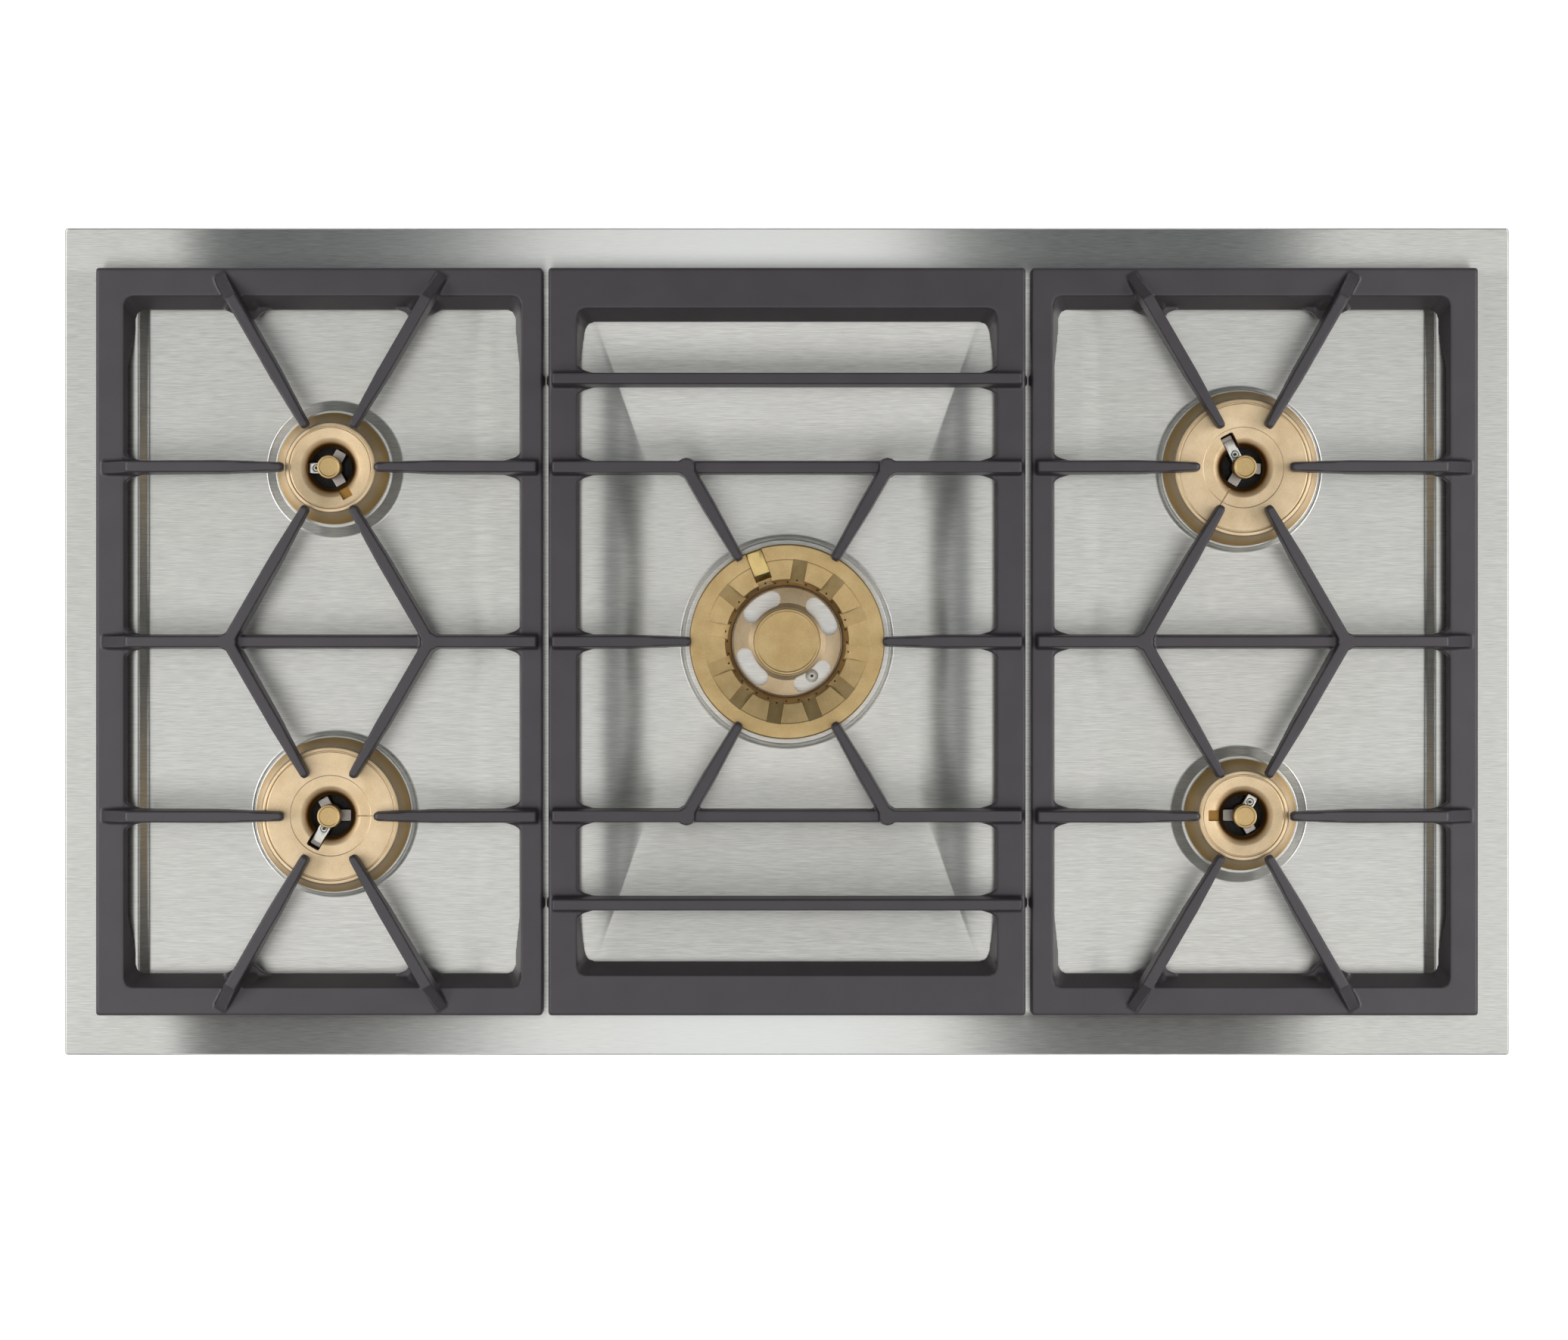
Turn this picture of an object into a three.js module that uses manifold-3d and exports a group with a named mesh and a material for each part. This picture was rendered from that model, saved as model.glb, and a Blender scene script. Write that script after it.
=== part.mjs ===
// A built-in gas cooktop, 90 cm class: a steel plate with five brass burners under three cast pan
// supports, and the casing below it with the valves, pipes and boxes. Millimetres, +Z up, +Y to the
// back, +X to the right. The object stands on the underside of its casing at z = 0.

import * as THREE from 'three';
import { mergeVertices } from 'three/addons/utils/BufferGeometryUtils.js';
import Module from 'manifold-3d';

const wasm = await Module();
wasm.setup();

// Clearance and fineness
const GAP = 0.3;
const ROUND = 16;
const FINE_ROUND = 32;
const HIDDEN_ROUND = 12;
const PIPE_SIDES = 6;
const HEX_SIDES = 6;
const CORNER_STEPS = 2;
const OVERSHOOT = 1;

// Plate
const PLATE_LENGTH = 908;
const PLATE_WIDTH = 520;
const PLATE_CORNER = 2;
const RIM_THICKNESS = 3;
const SHEET = 1.5;
const BODY_DEPTH = 105;
const SIDE_RIM = 46;
const FRONT_RIM = 35.5;
const CENTRE_WELL_WIDTH = 252;
const LAND_WIDTH = 46;
const LAND_DROP = 2;
const LAND_RAMP = 22;
const SIDE_WELL_DEPTH = 7;
const SIDE_WELL_SLOPE = 4;
const SIDE_WELL_CORNER = 8;
const CENTRE_WELL_DEPTH = 18;
const CENTRE_FLOOR_WIDTH = 174;
const CENTRE_FLOOR_LENGTH = 224;
const CENTRE_WELL_CORNER = 5;

// Seal, casing and clamps
const SEAL_INSET = 3;
const SEAL_WIDTH = 6;
const SEAL_THICKNESS = 1.2;
const CASING_INSET_X = 14;
const CASING_INSET_Y = 20;
const CASING_WALL = 1.2;
const CASING_FLANGE = 3;
const NOTCH_LENGTH = 70;
const NOTCH_WIDTH = 45;
const NOTCH_HEIGHT = 80;
const VENT_COUNT = 7;
const VENT_LENGTH = 60;
const VENT_WIDTH = 6;
const VENT_PITCH = 84;
const VENT_FROM_SIDE = 28;
const CLAMP_WIDTH = 20;
const CLAMP_HEIGHT = 42;
const CLAMP_THICKNESS = 2;
const CLAMP_REACH = 20;
const CLAMP_DROP = 48;
const CLAMP_FROM_END = 130;
const CLAMP_SCREW_R = 2.5;
const CLAMP_SCREW_PLACE = 12;
const CLAMP_SCREW_LENGTH = 14;

// Burner places
const BURNER_INWARD = 5.4;
const BURNER_SPACING = 217.2;

// Burner stack, heights above the plate
const BOSS_TOP = 0.5;
const BOSS_LEDGE = 1.5;
const CUP_FLANGE = 2;
const CUP_DEPTH = 34;
const CUP_FLOOR = 4;
const CUP_WALL = 3;
const CUP_RIM = 2.5;
const CUP_LEDGE_DROP = 6;
const JET_BORE = 4.7;
const LID_OVERHANG = 2;
const LID_HEIGHT = 16.5;
const LID_RIM_ROUND = 1.2;
const LID_RIM_BAND = 2.4;
const LID_DISH = 1.2;
const LID_OPENING = 12.8;
const LID_LIP = 5;
const LID_LIP_DEPTH = 4;
const LID_ROOF = 9;
const SLOT_WIDTH = 8.7;
const NOTCH_SIDE = 6.7;
const NOTCH_R = 18;
const NOTCH_DEPTH = 3;
const SLIT_WIDTH = 0.8;
const SLIT_DEPTH = 1.5;
const SPREADER_PLATE = 3;
const HUB_R = 5;
const HUB_FILLET = 2;
const SPOKE_COUNT = 3;
const SPOKE_WIDTH = 7.2;
const SPOKE_TOP = 10.5;
const CAP_R = 7.3;
const CAP_BEVEL = 0.5;
const CAP_TOP = 27;
const CAP_HEIGHT = 10;
const CAP_ROOF = 3;
const ELECTRODE_PLACE = 9.6;
const CERAMIC_R = 2;
const CERAMIC_TOP = 12;
const PIN_R = 0.7;
const PIN_LENGTH = 2.5;
const ELECTRODE_LENGTH = 54;
const TERMINAL_R = 1.2;
const TERMINAL_LENGTH = 4;
const JET_R = 6;
const JET_HEIGHT = 10;
const JET_HOLE = 0.9;

// Lid sizes: outer foot, top disc, bowl of the cup, boss foot and how far the electrode slot runs
const SMALL = { lidFoot: 35, lidTop: 27.9, bowl: 20, bossFoot: 40.3, slotEnd: 14.6 };
const LARGE = { lidFoot: 48.5, lidTop: 42.7, bowl: 33, bossFoot: 52, slotEnd: 23 };

// Wok burner
const WOK_BOSS_TOP = -0.5;
const WOK_BOSS_R = 62;
const WOK_BOSS_FOOT = 68;
const WOK_RING_R = 60.9;
const WOK_RING_TOP = 19;
const WOK_RING_DRAFT = 0.5;
const WOK_RING_EDGE = 1;
const WOK_RING_STEP_R = 51;
const WOK_RING_STEP = 0.6;
const WOK_RING_LIP_R = 38.1;
const WOK_RING_LIP_TOP = 15.8;
const WOK_RING_BORE = 34.7;
const WOK_RING_WALL_FOOT = 4;
const WOK_GROOVE_IN = 44;
const WOK_GROOVE_OUT = 56;
const WOK_GROOVE_IN_TOP = 8;
const WOK_GROOVE_OUT_TOP = 13;
const CHANNEL_COUNT = 12;
const CHANNEL_FIRST = 20.5;
const CHANNEL_WIDTH = 9.1;
const CHANNEL_END = 52;
const CLIP_CHANNEL = 3;
const CLIP_WIDTH = 10;
const CLIP_IN = 41;
const CLIP_NOSE = 4;
const CLIP_OUT = 60.2;
const CLIP_SEAT = 14;
const CLIP_HEIGHT = 6.2;
const INNER_RING_TOP = 5;
const INNER_RING_CROWN = 1.3;
const INNER_SEAT_R = 21.2;
const INNER_SEAT_FLARE = 3;
const INNER_SEAT_TOP = 8;
const INNER_SPIGOT_R = 17.7;
const INNER_SPIGOT_TOP = 12;
const INNER_BORE = 9;
const WINDOW_COUNT = 4;
const WINDOW_FIRST = 36;
const WINDOW_IN = 22;
const WINDOW_OUT = 32.6;
const WINDOW_SPAN = 44;
const WOK_CAP_R = 20.7;
const WOK_CAP_BEVEL = 0.8;
const WOK_CAP_TOP = 24;
const WOK_CAP_ROOF = 4;
const WOK_CUP_R = 57;
const WOK_TUBE_R = 16.5;
const WOK_TUBE_WALL = 4.5;
const WOK_SPIGOT_LENGTH = 6;
const WOK_FEED_COUNT = 3;
const WOK_FEED_R = 5;
const WOK_OUTER_JET_PLACE = 36;
const WOK_ELECTRODE_PLACE = 26.6;
const WOK_ELECTRODE_ANGLE = -54;
const WOK_ELECTRODE_FLANGE = 4;
const WOK_ELECTRODE_FLANGE_HEIGHT = 1.5;
const WOK_ELECTRODE_TOP = 4;

// Pan supports
const SUPPORT_OVER_RIM_X = 23.5;
const SUPPORT_OVER_RIM_Y = 9;
const SUPPORT_OVER_LAND = 23;
const SUPPORT_SPACE = 3.7;
const FRAME_TOP = 16;
const FRAME_BEVEL = 1;
const FRAME_DRAFT = 5;
const END_DRAFT = 7.7;
const FRAME_CORNER = 1.5;
const WINDOW_CORNER = 5;
const SIDE_OUTER_BAR = 17.5;
const SIDE_INNER_BAR = 13.1;
const SIDE_END_BAR = 17.6;
const CENTRE_SIDE_BAR = 17.6;
const CENTRE_END_BAR = 25.2;
const ARCH_HEIGHT = 10;
const ARCH_START = 37;
const ARCH_RAMP = 25;
const FINGER_TOP = 30;
const FINGER_WIDTH = 7;
const FINGER_TIP_WIDTH = 4.4;
const FINGER_TIP_DEPTH = 7.5;
const FINGER_ROOT_DEPTH = 17;
const FINGER_DRAFT = 1.1;
const FINGER_TIP_R = 28;
const FINGER_TAPER = 38;
const FINGER_NOSE = 2;
const BAR_SINK = 4;
const HAUNCH_FOOT = 11;
const HAUNCH_TOP = 15;
const HAUNCH_SPREAD = 6;
const HAUNCH_BEND = 4;
const HAUNCH_REACH = 14;
const PAD_WIDTH = 24;
const PAD_CROWN = 14;
const PAD_PROUD = 4;
const PAD_TOP = 14;
const PAD_CORNER = 1.5;
const RAMP_RUN = 17.5;
const RAMP_TO_EDGE = 4;
const BLUNT_TO_EDGE = 2.8;
const LINK_TOP = 25;
const LINK_DEPTH = 9;
const NODE_R = 5.5;
const BAR_Y = 163.3;
const WOK_BAR_Y = 108.5;
const WOK_TIP_R = 58.2;
const NUB_LENGTH = 1.3;
const NUB_WIDTH = 6;
const NUB_HEIGHT = 5;
const NUB_FOOT = 6;
const SECTOR = 60;

// Gas and electrics under the plate
const RAIL_LENGTH = 520;
const RAIL_SIDE = 14;
const RAIL_BORE = 8;
const RAIL_FROM_FRONT = 43;
const VALVE_COUNT = 6;
const VALVE_PITCH = 90;
const VALVE_WIDTH = 30;
const VALVE_LENGTH = 40;
const VALVE_HEIGHT = 34;
const MOTOR_R = 11;
const MOTOR_LENGTH = 16;
const PIPE_R = 4;
const PIPE_STEPS = 14;
const PIPE_LEVEL = 60;
const PIPE_STRAIGHT = 3;
const PIPE_BENDS = [0.12, 0.5, 0.9];
const FEED_R = 6;
const FEED_STEPS = 18;
const FEED_STRAIGHT = 14;
const FEED_BEND = 32;
const INLET_HEIGHT = 25;
const INLET_R = 10;
const INLET_NUT_R = 14;
const INLET_NUT_LENGTH = 10;
const INLET_LENGTH = 26;
const INLET_BORE = 7;
const BOX_FROM_BACK = 22;
const BOX_LIP = 2;
const CONTROL_BOX = { length: 160, width: 60, height: 40, offset: -110 };
const IGNITION_BOX = { length: 90, width: 45, height: 32, offset: 90 };
const SOCKET_LENGTH = 26;
const SOCKET_HEIGHT = 18;
const SOCKET_DEPTH = 16;
const SOCKET_PROUD = 5;
const SOCKET_PIN_WELL = 10;
const SOCKET_RISE = 55;
const SOCKET_LIP = 2.5;

// Places worked out from the sizes
const RAD = Math.PI / 180;
const WELL_Y = PLATE_WIDTH / 2 - FRONT_RIM;
const WELL_OUT = PLATE_LENGTH / 2 - SIDE_RIM;
const CENTRE_WELL_X = CENTRE_WELL_WIDTH / 2;
const WELL_IN = CENTRE_WELL_X + LAND_WIDTH;
const BURNER_X = (WELL_IN + WELL_OUT) / 2 - BURNER_INWARD;
const BURNER_Y = BURNER_SPACING / 2;
const CASING_X = PLATE_LENGTH / 2 - CASING_INSET_X;
const CASING_Y = PLATE_WIDTH / 2 - CASING_INSET_Y;
const FLOOR_Z = -BODY_DEPTH + CASING_WALL;
const NOTCH_X = CASING_X - NOTCH_LENGTH;
const NOTCH_Y = CASING_Y - NOTCH_WIDTH;
const SEAT_Z = BOSS_TOP + CUP_FLANGE;
const LEDGE_Z = SEAT_Z - CUP_LEDGE_DROP;
const HUB_TOP = CAP_TOP - CAP_ROOF;
const LID_TOP = SEAT_Z + LID_HEIGHT;
const SUPPORT_OUT = WELL_OUT + SUPPORT_OVER_RIM_X;
const SUPPORT_Y = WELL_Y + SUPPORT_OVER_RIM_Y;
const CENTRE_SUPPORT_X = CENTRE_WELL_X + SUPPORT_OVER_LAND;
const SUPPORT_IN = CENTRE_SUPPORT_X + SUPPORT_SPACE;
const RAIL_Y = -CASING_Y + RAIL_FROM_FRONT;
const RAIL_Z = FLOOR_Z + RAIL_SIDE / 2;
const VALVE_TOP = FLOOR_Z + VALVE_HEIGHT;
const VALVE_Y = RAIL_Y + RAIL_SIDE / 2 + VALVE_LENGTH / 2;
const JET_FOOT = -CUP_DEPTH - JET_HEIGHT;
const WOK_TUBE_TOP = WOK_BOSS_TOP + GAP;
const WOK_FEED_PLACE = (WOK_GROOVE_IN + WOK_GROOVE_OUT) / 2;

const finish = (color, metalness, roughness) => () =>
  new THREE.MeshStandardMaterial({ color, metalness, roughness });
const steel = finish(0xc4c4c0, 1, 0.35);
const zincSteel = finish(0xa8aaac, 1, 0.5);
const castIron = finish(0x464448, 0.2, 0.7);
const brass = finish(0xc8a870, 0.9, 0.5);
const polishedBrass = finish(0xe0c060, 1, 0.2);
const darkIron = finish(0x46423c, 0.6, 0.6);
const aluminium = finish(0xb0b2b4, 0.9, 0.5);
const ceramic = finish(0xf0efe9, 0, 0.4);
const plastic = finish(0x2c2d30, 0, 0.6);
const rubber = finish(0x1c1c1e, 0, 0.9);

// Geometry helpers: every one gives a closed body whose faces point out
function closed(geometry) {
  const bare = geometry.clone();
  bare.deleteAttribute('normal');
  bare.deleteAttribute('uv');
  const merged = mergeVertices(bare);
  const from = merged.index.array;
  const at = merged.attributes.position;
  const corner = [new THREE.Vector3(), new THREE.Vector3(), new THREE.Vector3()];
  const kept = [];
  let volume = 0;
  for (let i = 0; i < from.length; i += 3) {
    const [a, b, c] = [from[i], from[i + 1], from[i + 2]];
    if (a === b || b === c || c === a) continue;
    kept.push(a, b, c);
    [a, b, c].forEach((index, n) => corner[n].fromBufferAttribute(at, index));
    volume += corner[0].dot(corner[1].clone().cross(corner[2]));
  }
  if (volume < 0) {
    for (let i = 0; i < kept.length; i += 3) [kept[i], kept[i + 1]] = [kept[i + 1], kept[i]];
  }
  merged.setIndex(kept);
  return merged;
}

function toSolid(geometry) {
  const body = closed(geometry);
  const vertProperties = new Float32Array(body.attributes.position.array);
  const triVerts = new Uint32Array(body.index.array);
  return new wasm.Manifold(new wasm.Mesh({ numProp: 3, vertProperties, triVerts }));
}

function fromSolid(solid) {
  const { vertProperties, triVerts } = solid.getMesh();
  const geometry = new THREE.BufferGeometry();
  geometry.setAttribute('position', new THREE.BufferAttribute(vertProperties, 3));
  geometry.setIndex(new THREE.BufferAttribute(triVerts, 1));
  return geometry;
}

const join = (...bodies) => fromSolid(bodies.map(toSolid).reduce((all, next) => all.add(next)));

const cut = (body, ...tools) =>
  fromSolid(tools.map(toSolid).reduce((rest, tool) => rest.subtract(tool), toSolid(body)));

function block(x0, x1, y0, y1, z0, z1) {
  const box = new THREE.BoxGeometry(Math.abs(x1 - x0), Math.abs(y1 - y0), Math.abs(z1 - z0));
  return box.translate((x0 + x1) / 2, (y0 + y1) / 2, (z0 + z1) / 2);
}

// A body of revolution about Z from [radius, height] pairs; an open profile is closed on itself
function turned(profile, sides = ROUND) {
  const onAxis = profile[0][0] === 0 && profile.at(-1)[0] === 0;
  const ring = onAxis ? profile : [...profile, profile[0]];
  const lathe = new THREE.LatheGeometry(ring.map(([r, z]) => new THREE.Vector2(r, z)), sides);
  return lathe.rotateX(Math.PI / 2);
}

function cylinder(radius, z0, z1, sides = ROUND) {
  return turned([[0, z0], [radius, z0], [radius, z1], [0, z1]], sides);
}

function outlinePrism(points, z0, z1) {
  const shape = new THREE.Shape(points.map(([x, y]) => new THREE.Vector2(x, y)));
  const prism = new THREE.ExtrudeGeometry(shape, { depth: z1 - z0, bevelEnabled: false });
  return prism.translate(0, 0, z0);
}

// A prism along X from its outline in [y, z]
function alongX(points, x0, x1) {
  const [x, y, z] = [new THREE.Vector3(1, 0, 0), new THREE.Vector3(0, 1, 0), new THREE.Vector3(0, 0, 1)];
  return outlinePrism(points, x0, x1).applyMatrix4(new THREE.Matrix4().makeBasis(y, z, x));
}

// Corner points of a rectangle with rounded corners, anticlockwise
function roundedRectangle(x0, x1, y0, y1, radius) {
  const centres = [[x1, y1, 0], [x0, y1, 90], [x0, y0, 180], [x1, y0, 270]];
  const points = [];
  for (const [x, y, start] of centres) {
    const cx = x - Math.sign(x - (x0 + x1) / 2) * radius;
    const cy = y - Math.sign(y - (y0 + y1) / 2) * radius;
    for (let step = 0; step <= CORNER_STEPS; step += 1) {
      const angle = (start + (90 * step) / CORNER_STEPS) * RAD;
      points.push([cx + radius * Math.cos(angle), cy + radius * Math.sin(angle)]);
    }
  }
  return points;
}

// A body through matching outlines, each { z, points }, from the lowest to the highest
function lofted(sections) {
  const count = sections[0].points.length;
  const positions = sections.flatMap(({ points, z }) => points.flatMap(([x, y]) => [x, y, z]));
  const faces = [];
  for (let level = 0; level + 1 < sections.length; level += 1) {
    for (let i = 0; i < count; i += 1) {
      const a = level * count + i;
      const b = level * count + ((i + 1) % count);
      faces.push(a, b, b + count, a, b + count, a + count);
    }
  }
  const flat = sections[0].points.map(([x, y]) => new THREE.Vector2(x, y));
  const last = (sections.length - 1) * count;
  for (const [a, b, c] of THREE.ShapeUtils.triangulateShape(flat, [])) {
    faces.push(c, b, a, last + a, last + b, last + c);
  }
  const geometry = new THREE.BufferGeometry();
  geometry.setAttribute('position', new THREE.Float32BufferAttribute(positions, 3));
  geometry.setIndex(faces);
  return geometry;
}

// A bar along a straight line in plan: stations are { along, top, bottom, half } from start to end
function bar([x0, y0], [x1, y1], stations) {
  const length = Math.hypot(x1 - x0, y1 - y0);
  const [dx, dy] = [(x1 - x0) / length, (y1 - y0) / length];
  const positions = [];
  for (const { along, top, bottom, half } of stations) {
    for (const [side, z] of [[half, top], [half + FINGER_DRAFT, bottom]]) {
      for (const sign of [1, -1]) {
        const across = sign * side;
        positions.push(x0 + dx * along - dy * across, y0 + dy * along + dx * across, z);
      }
    }
  }
  const faces = [0, 1, 3, 0, 3, 2];
  const around = [[0, 2], [2, 3], [3, 1], [1, 0]];
  for (let station = 0; station + 1 < stations.length; station += 1) {
    const base = station * 4;
    for (const [a, b] of around) {
      faces.push(base + a, base + b, base + b + 4, base + a, base + b + 4, base + a + 4);
    }
  }
  const end = (stations.length - 1) * 4;
  faces.push(end, end + 3, end + 1, end, end + 2, end + 3);
  const geometry = new THREE.BufferGeometry();
  geometry.setAttribute('position', new THREE.Float32BufferAttribute(positions, 3));
  geometry.setIndex(faces);
  return geometry;
}

function pipe(points, radius, steps) {
  const stops = points.map((point) => new THREE.Vector3(...point));
  const path = new THREE.CatmullRomCurve3(stops, false, 'centripetal');
  const section = new THREE.Shape();
  section.absarc(0, 0, radius, 0, 2 * Math.PI, false);
  const corners = new THREE.Shape(section.getSpacedPoints(PIPE_SIDES).slice(0, PIPE_SIDES));
  return new THREE.ExtrudeGeometry(corners, { steps, extrudePath: path, bevelEnabled: false });
}

// The corner radius of a faceted bore whose flats stay clear of the round piece that it holds
const boreFor = (radius, sides = ROUND) => (radius + GAP) / Math.cos(Math.PI / sides);

const turnedTo = (geometry, degrees) => geometry.clone().rotateZ(degrees * RAD);
const lyingAlongY = (geometry) => geometry.clone().rotateX(-Math.PI / 2);
const polar = (radius, degrees) =>
  [radius * Math.cos(degrees * RAD), radius * Math.sin(degrees * RAD)];

const cooktop = new THREE.Group();
cooktop.position.z = BODY_DEPTH;

function place(name, geometry, material, x = 0, y = 0, z = 0) {
  const mesh = new THREE.Mesh(closed(geometry), material());
  mesh.name = name;
  mesh.position.set(x, y, z);
  cooktop.add(mesh);
}

// The burners that differ only in size, place and how they are turned
const burners = [
  { name: 'back_left', size: SMALL, x: -BURNER_X, y: BURNER_Y, electrode: 180, notch: -60 },
  { name: 'front_left', size: LARGE, x: -BURNER_X, y: -BURNER_Y, electrode: 240, slit: 0 },
  { name: 'back_right', size: LARGE, x: BURNER_X, y: BURNER_Y, electrode: 118, slit: 238 },
  { name: 'front_right', size: SMALL, x: BURNER_X, y: -BURNER_Y, electrode: 60, notch: 180 },
];

// Top plate: a rim, two side wells, a deep centre well, the lands between, and pressed bosses
function wellSections(x0, x1, half, depth, slopeX, slopeY, corner, grow) {
  const outline = (insetX, insetY) => roundedRectangle(
    x0 + insetX - grow, x1 - insetX + grow, -half + insetY - grow, half - insetY + grow, corner);
  const lift = grow ? -grow : OVERSHOOT;
  const spread = grow ? 0 : OVERSHOOT / depth;
  return [
    { z: -depth - grow, points: outline(slopeX, slopeY) },
    { z: lift, points: outline(-slopeX * spread, -slopeY * spread) },
  ];
}

function landGroove(x0, x1, grow) {
  const [z, lift] = [-LAND_DROP - grow, grow ? -grow : OVERSHOOT];
  const [low, high] = [WELL_Y - LAND_RAMP, WELL_Y + grow];
  return alongX([[-high, lift], [-low, z], [low, z], [high, lift]], x0, x1);
}

function boss(x, y, topR, footR, top, floor, hole) {
  const slope = (footR - topR) / (top - floor);
  const under = floor - SHEET - OVERSHOOT;
  const foot = floor - SHEET / 2;
  const outer = turned([[0, foot], [footR, foot], [footR, floor], [topR, top], [0, top]]);
  const [hollowR, roof] = [topR - SHEET, top - SHEET];
  const flare = hollowR + slope * (roof - under);
  const hollow = turned([[0, under], [flare, under], [hollowR, roof], [0, roof]]);
  const bore = cylinder(hole, under, top + OVERSHOOT);
  return [outer, hollow, bore].map((body) => body.translate(x, y, 0));
}

function topPlate() {
  const [length, width] = [PLATE_LENGTH / 2, PLATE_WIDTH / 2];
  const edge = roundedRectangle(-length, length, -width, width, PLATE_CORNER);
  const rim = outlinePrism(edge, -RIM_THICKNESS, 0);
  const centreSlopes = [CENTRE_WELL_X - CENTRE_FLOOR_WIDTH / 2, WELL_Y - CENTRE_FLOOR_LENGTH / 2];
  // The lands run into both wells as far as the wells' slopes lie above them
  const [slope] = centreSlopes;
  const landIn = CENTRE_WELL_X - LAND_DROP * slope / CENTRE_WELL_DEPTH - OVERSHOOT;
  const landOut = WELL_IN + LAND_DROP * SIDE_WELL_SLOPE / SIDE_WELL_DEPTH + OVERSHOOT;
  const wells = (grow) => [
    lofted(wellSections(
      -CENTRE_WELL_X, CENTRE_WELL_X, WELL_Y, CENTRE_WELL_DEPTH, ...centreSlopes, CENTRE_WELL_CORNER, grow)),
    ...[[-WELL_OUT, -WELL_IN], [WELL_IN, WELL_OUT]].map(([x0, x1]) => lofted(wellSections(
      x0, x1, WELL_Y, SIDE_WELL_DEPTH, SIDE_WELL_SLOPE, SIDE_WELL_SLOPE, SIDE_WELL_CORNER, grow))),
    ...[[-landOut, -landIn], [landIn, landOut]].map(([x0, x1]) => landGroove(x0, x1, grow)),
  ];
  const bosses = burners.map(({ x, y, size }) => {
    const bore = boreFor(size.bowl + CUP_WALL);
    return boss(x, y, size.lidFoot + BOSS_LEDGE, size.bossFoot, BOSS_TOP, -SIDE_WELL_DEPTH, bore);
  });
  bosses.push(boss(
    0, 0, WOK_BOSS_R, WOK_BOSS_FOOT, WOK_BOSS_TOP, -CENTRE_WELL_DEPTH, boreFor(WOK_TUBE_R)));
  const wokHole = (radius, place, degrees) => cylinder(
    radius, WOK_BOSS_TOP - SHEET - OVERSHOOT, WOK_BOSS_TOP + OVERSHOOT, HIDDEN_ROUND)
    .translate(...polar(place, degrees), 0);
  const feeds = [...Array(WOK_FEED_COUNT).keys()].map(
    (n) => wokHole(WOK_FEED_R, WOK_FEED_PLACE, (360 / WOK_FEED_COUNT) * n));
  const electrodeHole = wokHole(
    boreFor(CERAMIC_R, HIDDEN_ROUND), WOK_ELECTRODE_PLACE, WOK_ELECTRODE_ANGLE);
  const pressed = cut(join(rim, ...wells(SHEET)), ...wells(0));
  const raised = join(pressed, ...bosses.map(([outer]) => outer));
  return cut(raised, ...bosses.flatMap(([, hollow, bore]) => [hollow, bore]), ...feeds, electrodeHole);
}

// Seal, casing and clamps
function rimSeal() {
  const [x, y] = [PLATE_LENGTH / 2, PLATE_WIDTH / 2];
  const ring = (inset, z0, z1) => block(-x + inset, x - inset, -y + inset, y - inset, z0, z1);
  const [low, high] = [-RIM_THICKNESS - SEAL_THICKNESS, -RIM_THICKNESS];
  return cut(ring(SEAL_INSET, low, high), ring(SEAL_INSET + SEAL_WIDTH, low - OVERSHOOT, high + OVERSHOOT));
}

// The casing's bulk, with the notch at the back right that the gas and mains connections look into
function casingBulk(inset, z0, z1) {
  const [x, y] = [CASING_X - inset, CASING_Y - inset];
  const notch = block(
    NOTCH_X - inset, CASING_X + OVERSHOOT, NOTCH_Y - inset, CASING_Y + OVERSHOOT,
    -BODY_DEPTH - OVERSHOOT, -BODY_DEPTH + NOTCH_HEIGHT + inset);
  return cut(block(-x, x, -y, y, z0, z1), notch);
}

const inletPlace = [NOTCH_X + NOTCH_LENGTH / 2, NOTCH_Y, -BODY_DEPTH + INLET_HEIGHT];
const socketPlace = [NOTCH_X, NOTCH_Y + NOTCH_WIDTH / 2, -BODY_DEPTH + SOCKET_RISE];

function bottomPan() {
  const shell = cut(casingBulk(0, -BODY_DEPTH, -RIM_THICKNESS), casingBulk(CASING_WALL, FLOOR_Z, 0));
  const flange = (grow, z0) => block(
    -CASING_X - grow, CASING_X + grow, -CASING_Y - grow, CASING_Y + grow, z0, -RIM_THICKNESS);
  const lip = cut(
    flange(CASING_FLANGE, -RIM_THICKNESS - CASING_WALL), flange(-CASING_WALL / 2, -BODY_DEPTH),
    flange(-CASING_WALL / 2, -BODY_DEPTH).translate(0, 0, OVERSHOOT));
  const vents = [];
  for (let n = 0; n < VENT_COUNT; n += 1) {
    const x = (n - (VENT_COUNT - 1) / 2) * VENT_PITCH;
    const y = -CASING_Y + VENT_FROM_SIDE;
    vents.push(block(
      x - VENT_LENGTH / 2, x + VENT_LENGTH / 2, y - VENT_WIDTH / 2, y + VENT_WIDTH / 2,
      -BODY_DEPTH - OVERSHOOT, FLOOR_Z + OVERSHOOT));
  }
  const inletHole = lyingAlongY(cylinder(
    boreFor(INLET_R, HIDDEN_ROUND), -CASING_WALL * 2, CASING_WALL, HIDDEN_ROUND))
    .translate(...inletPlace);
  const [sx, sy, sz] = socketPlace;
  const socketHole = block(
    sx - CASING_WALL * 2, sx + CASING_WALL, sy - SOCKET_LENGTH / 2 - GAP, sy + SOCKET_LENGTH / 2 + GAP,
    sz - SOCKET_HEIGHT / 2 - GAP, sz + SOCKET_HEIGHT / 2 + GAP);
  return cut(join(shell, lip), ...vents, inletHole, socketHole);
}

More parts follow.
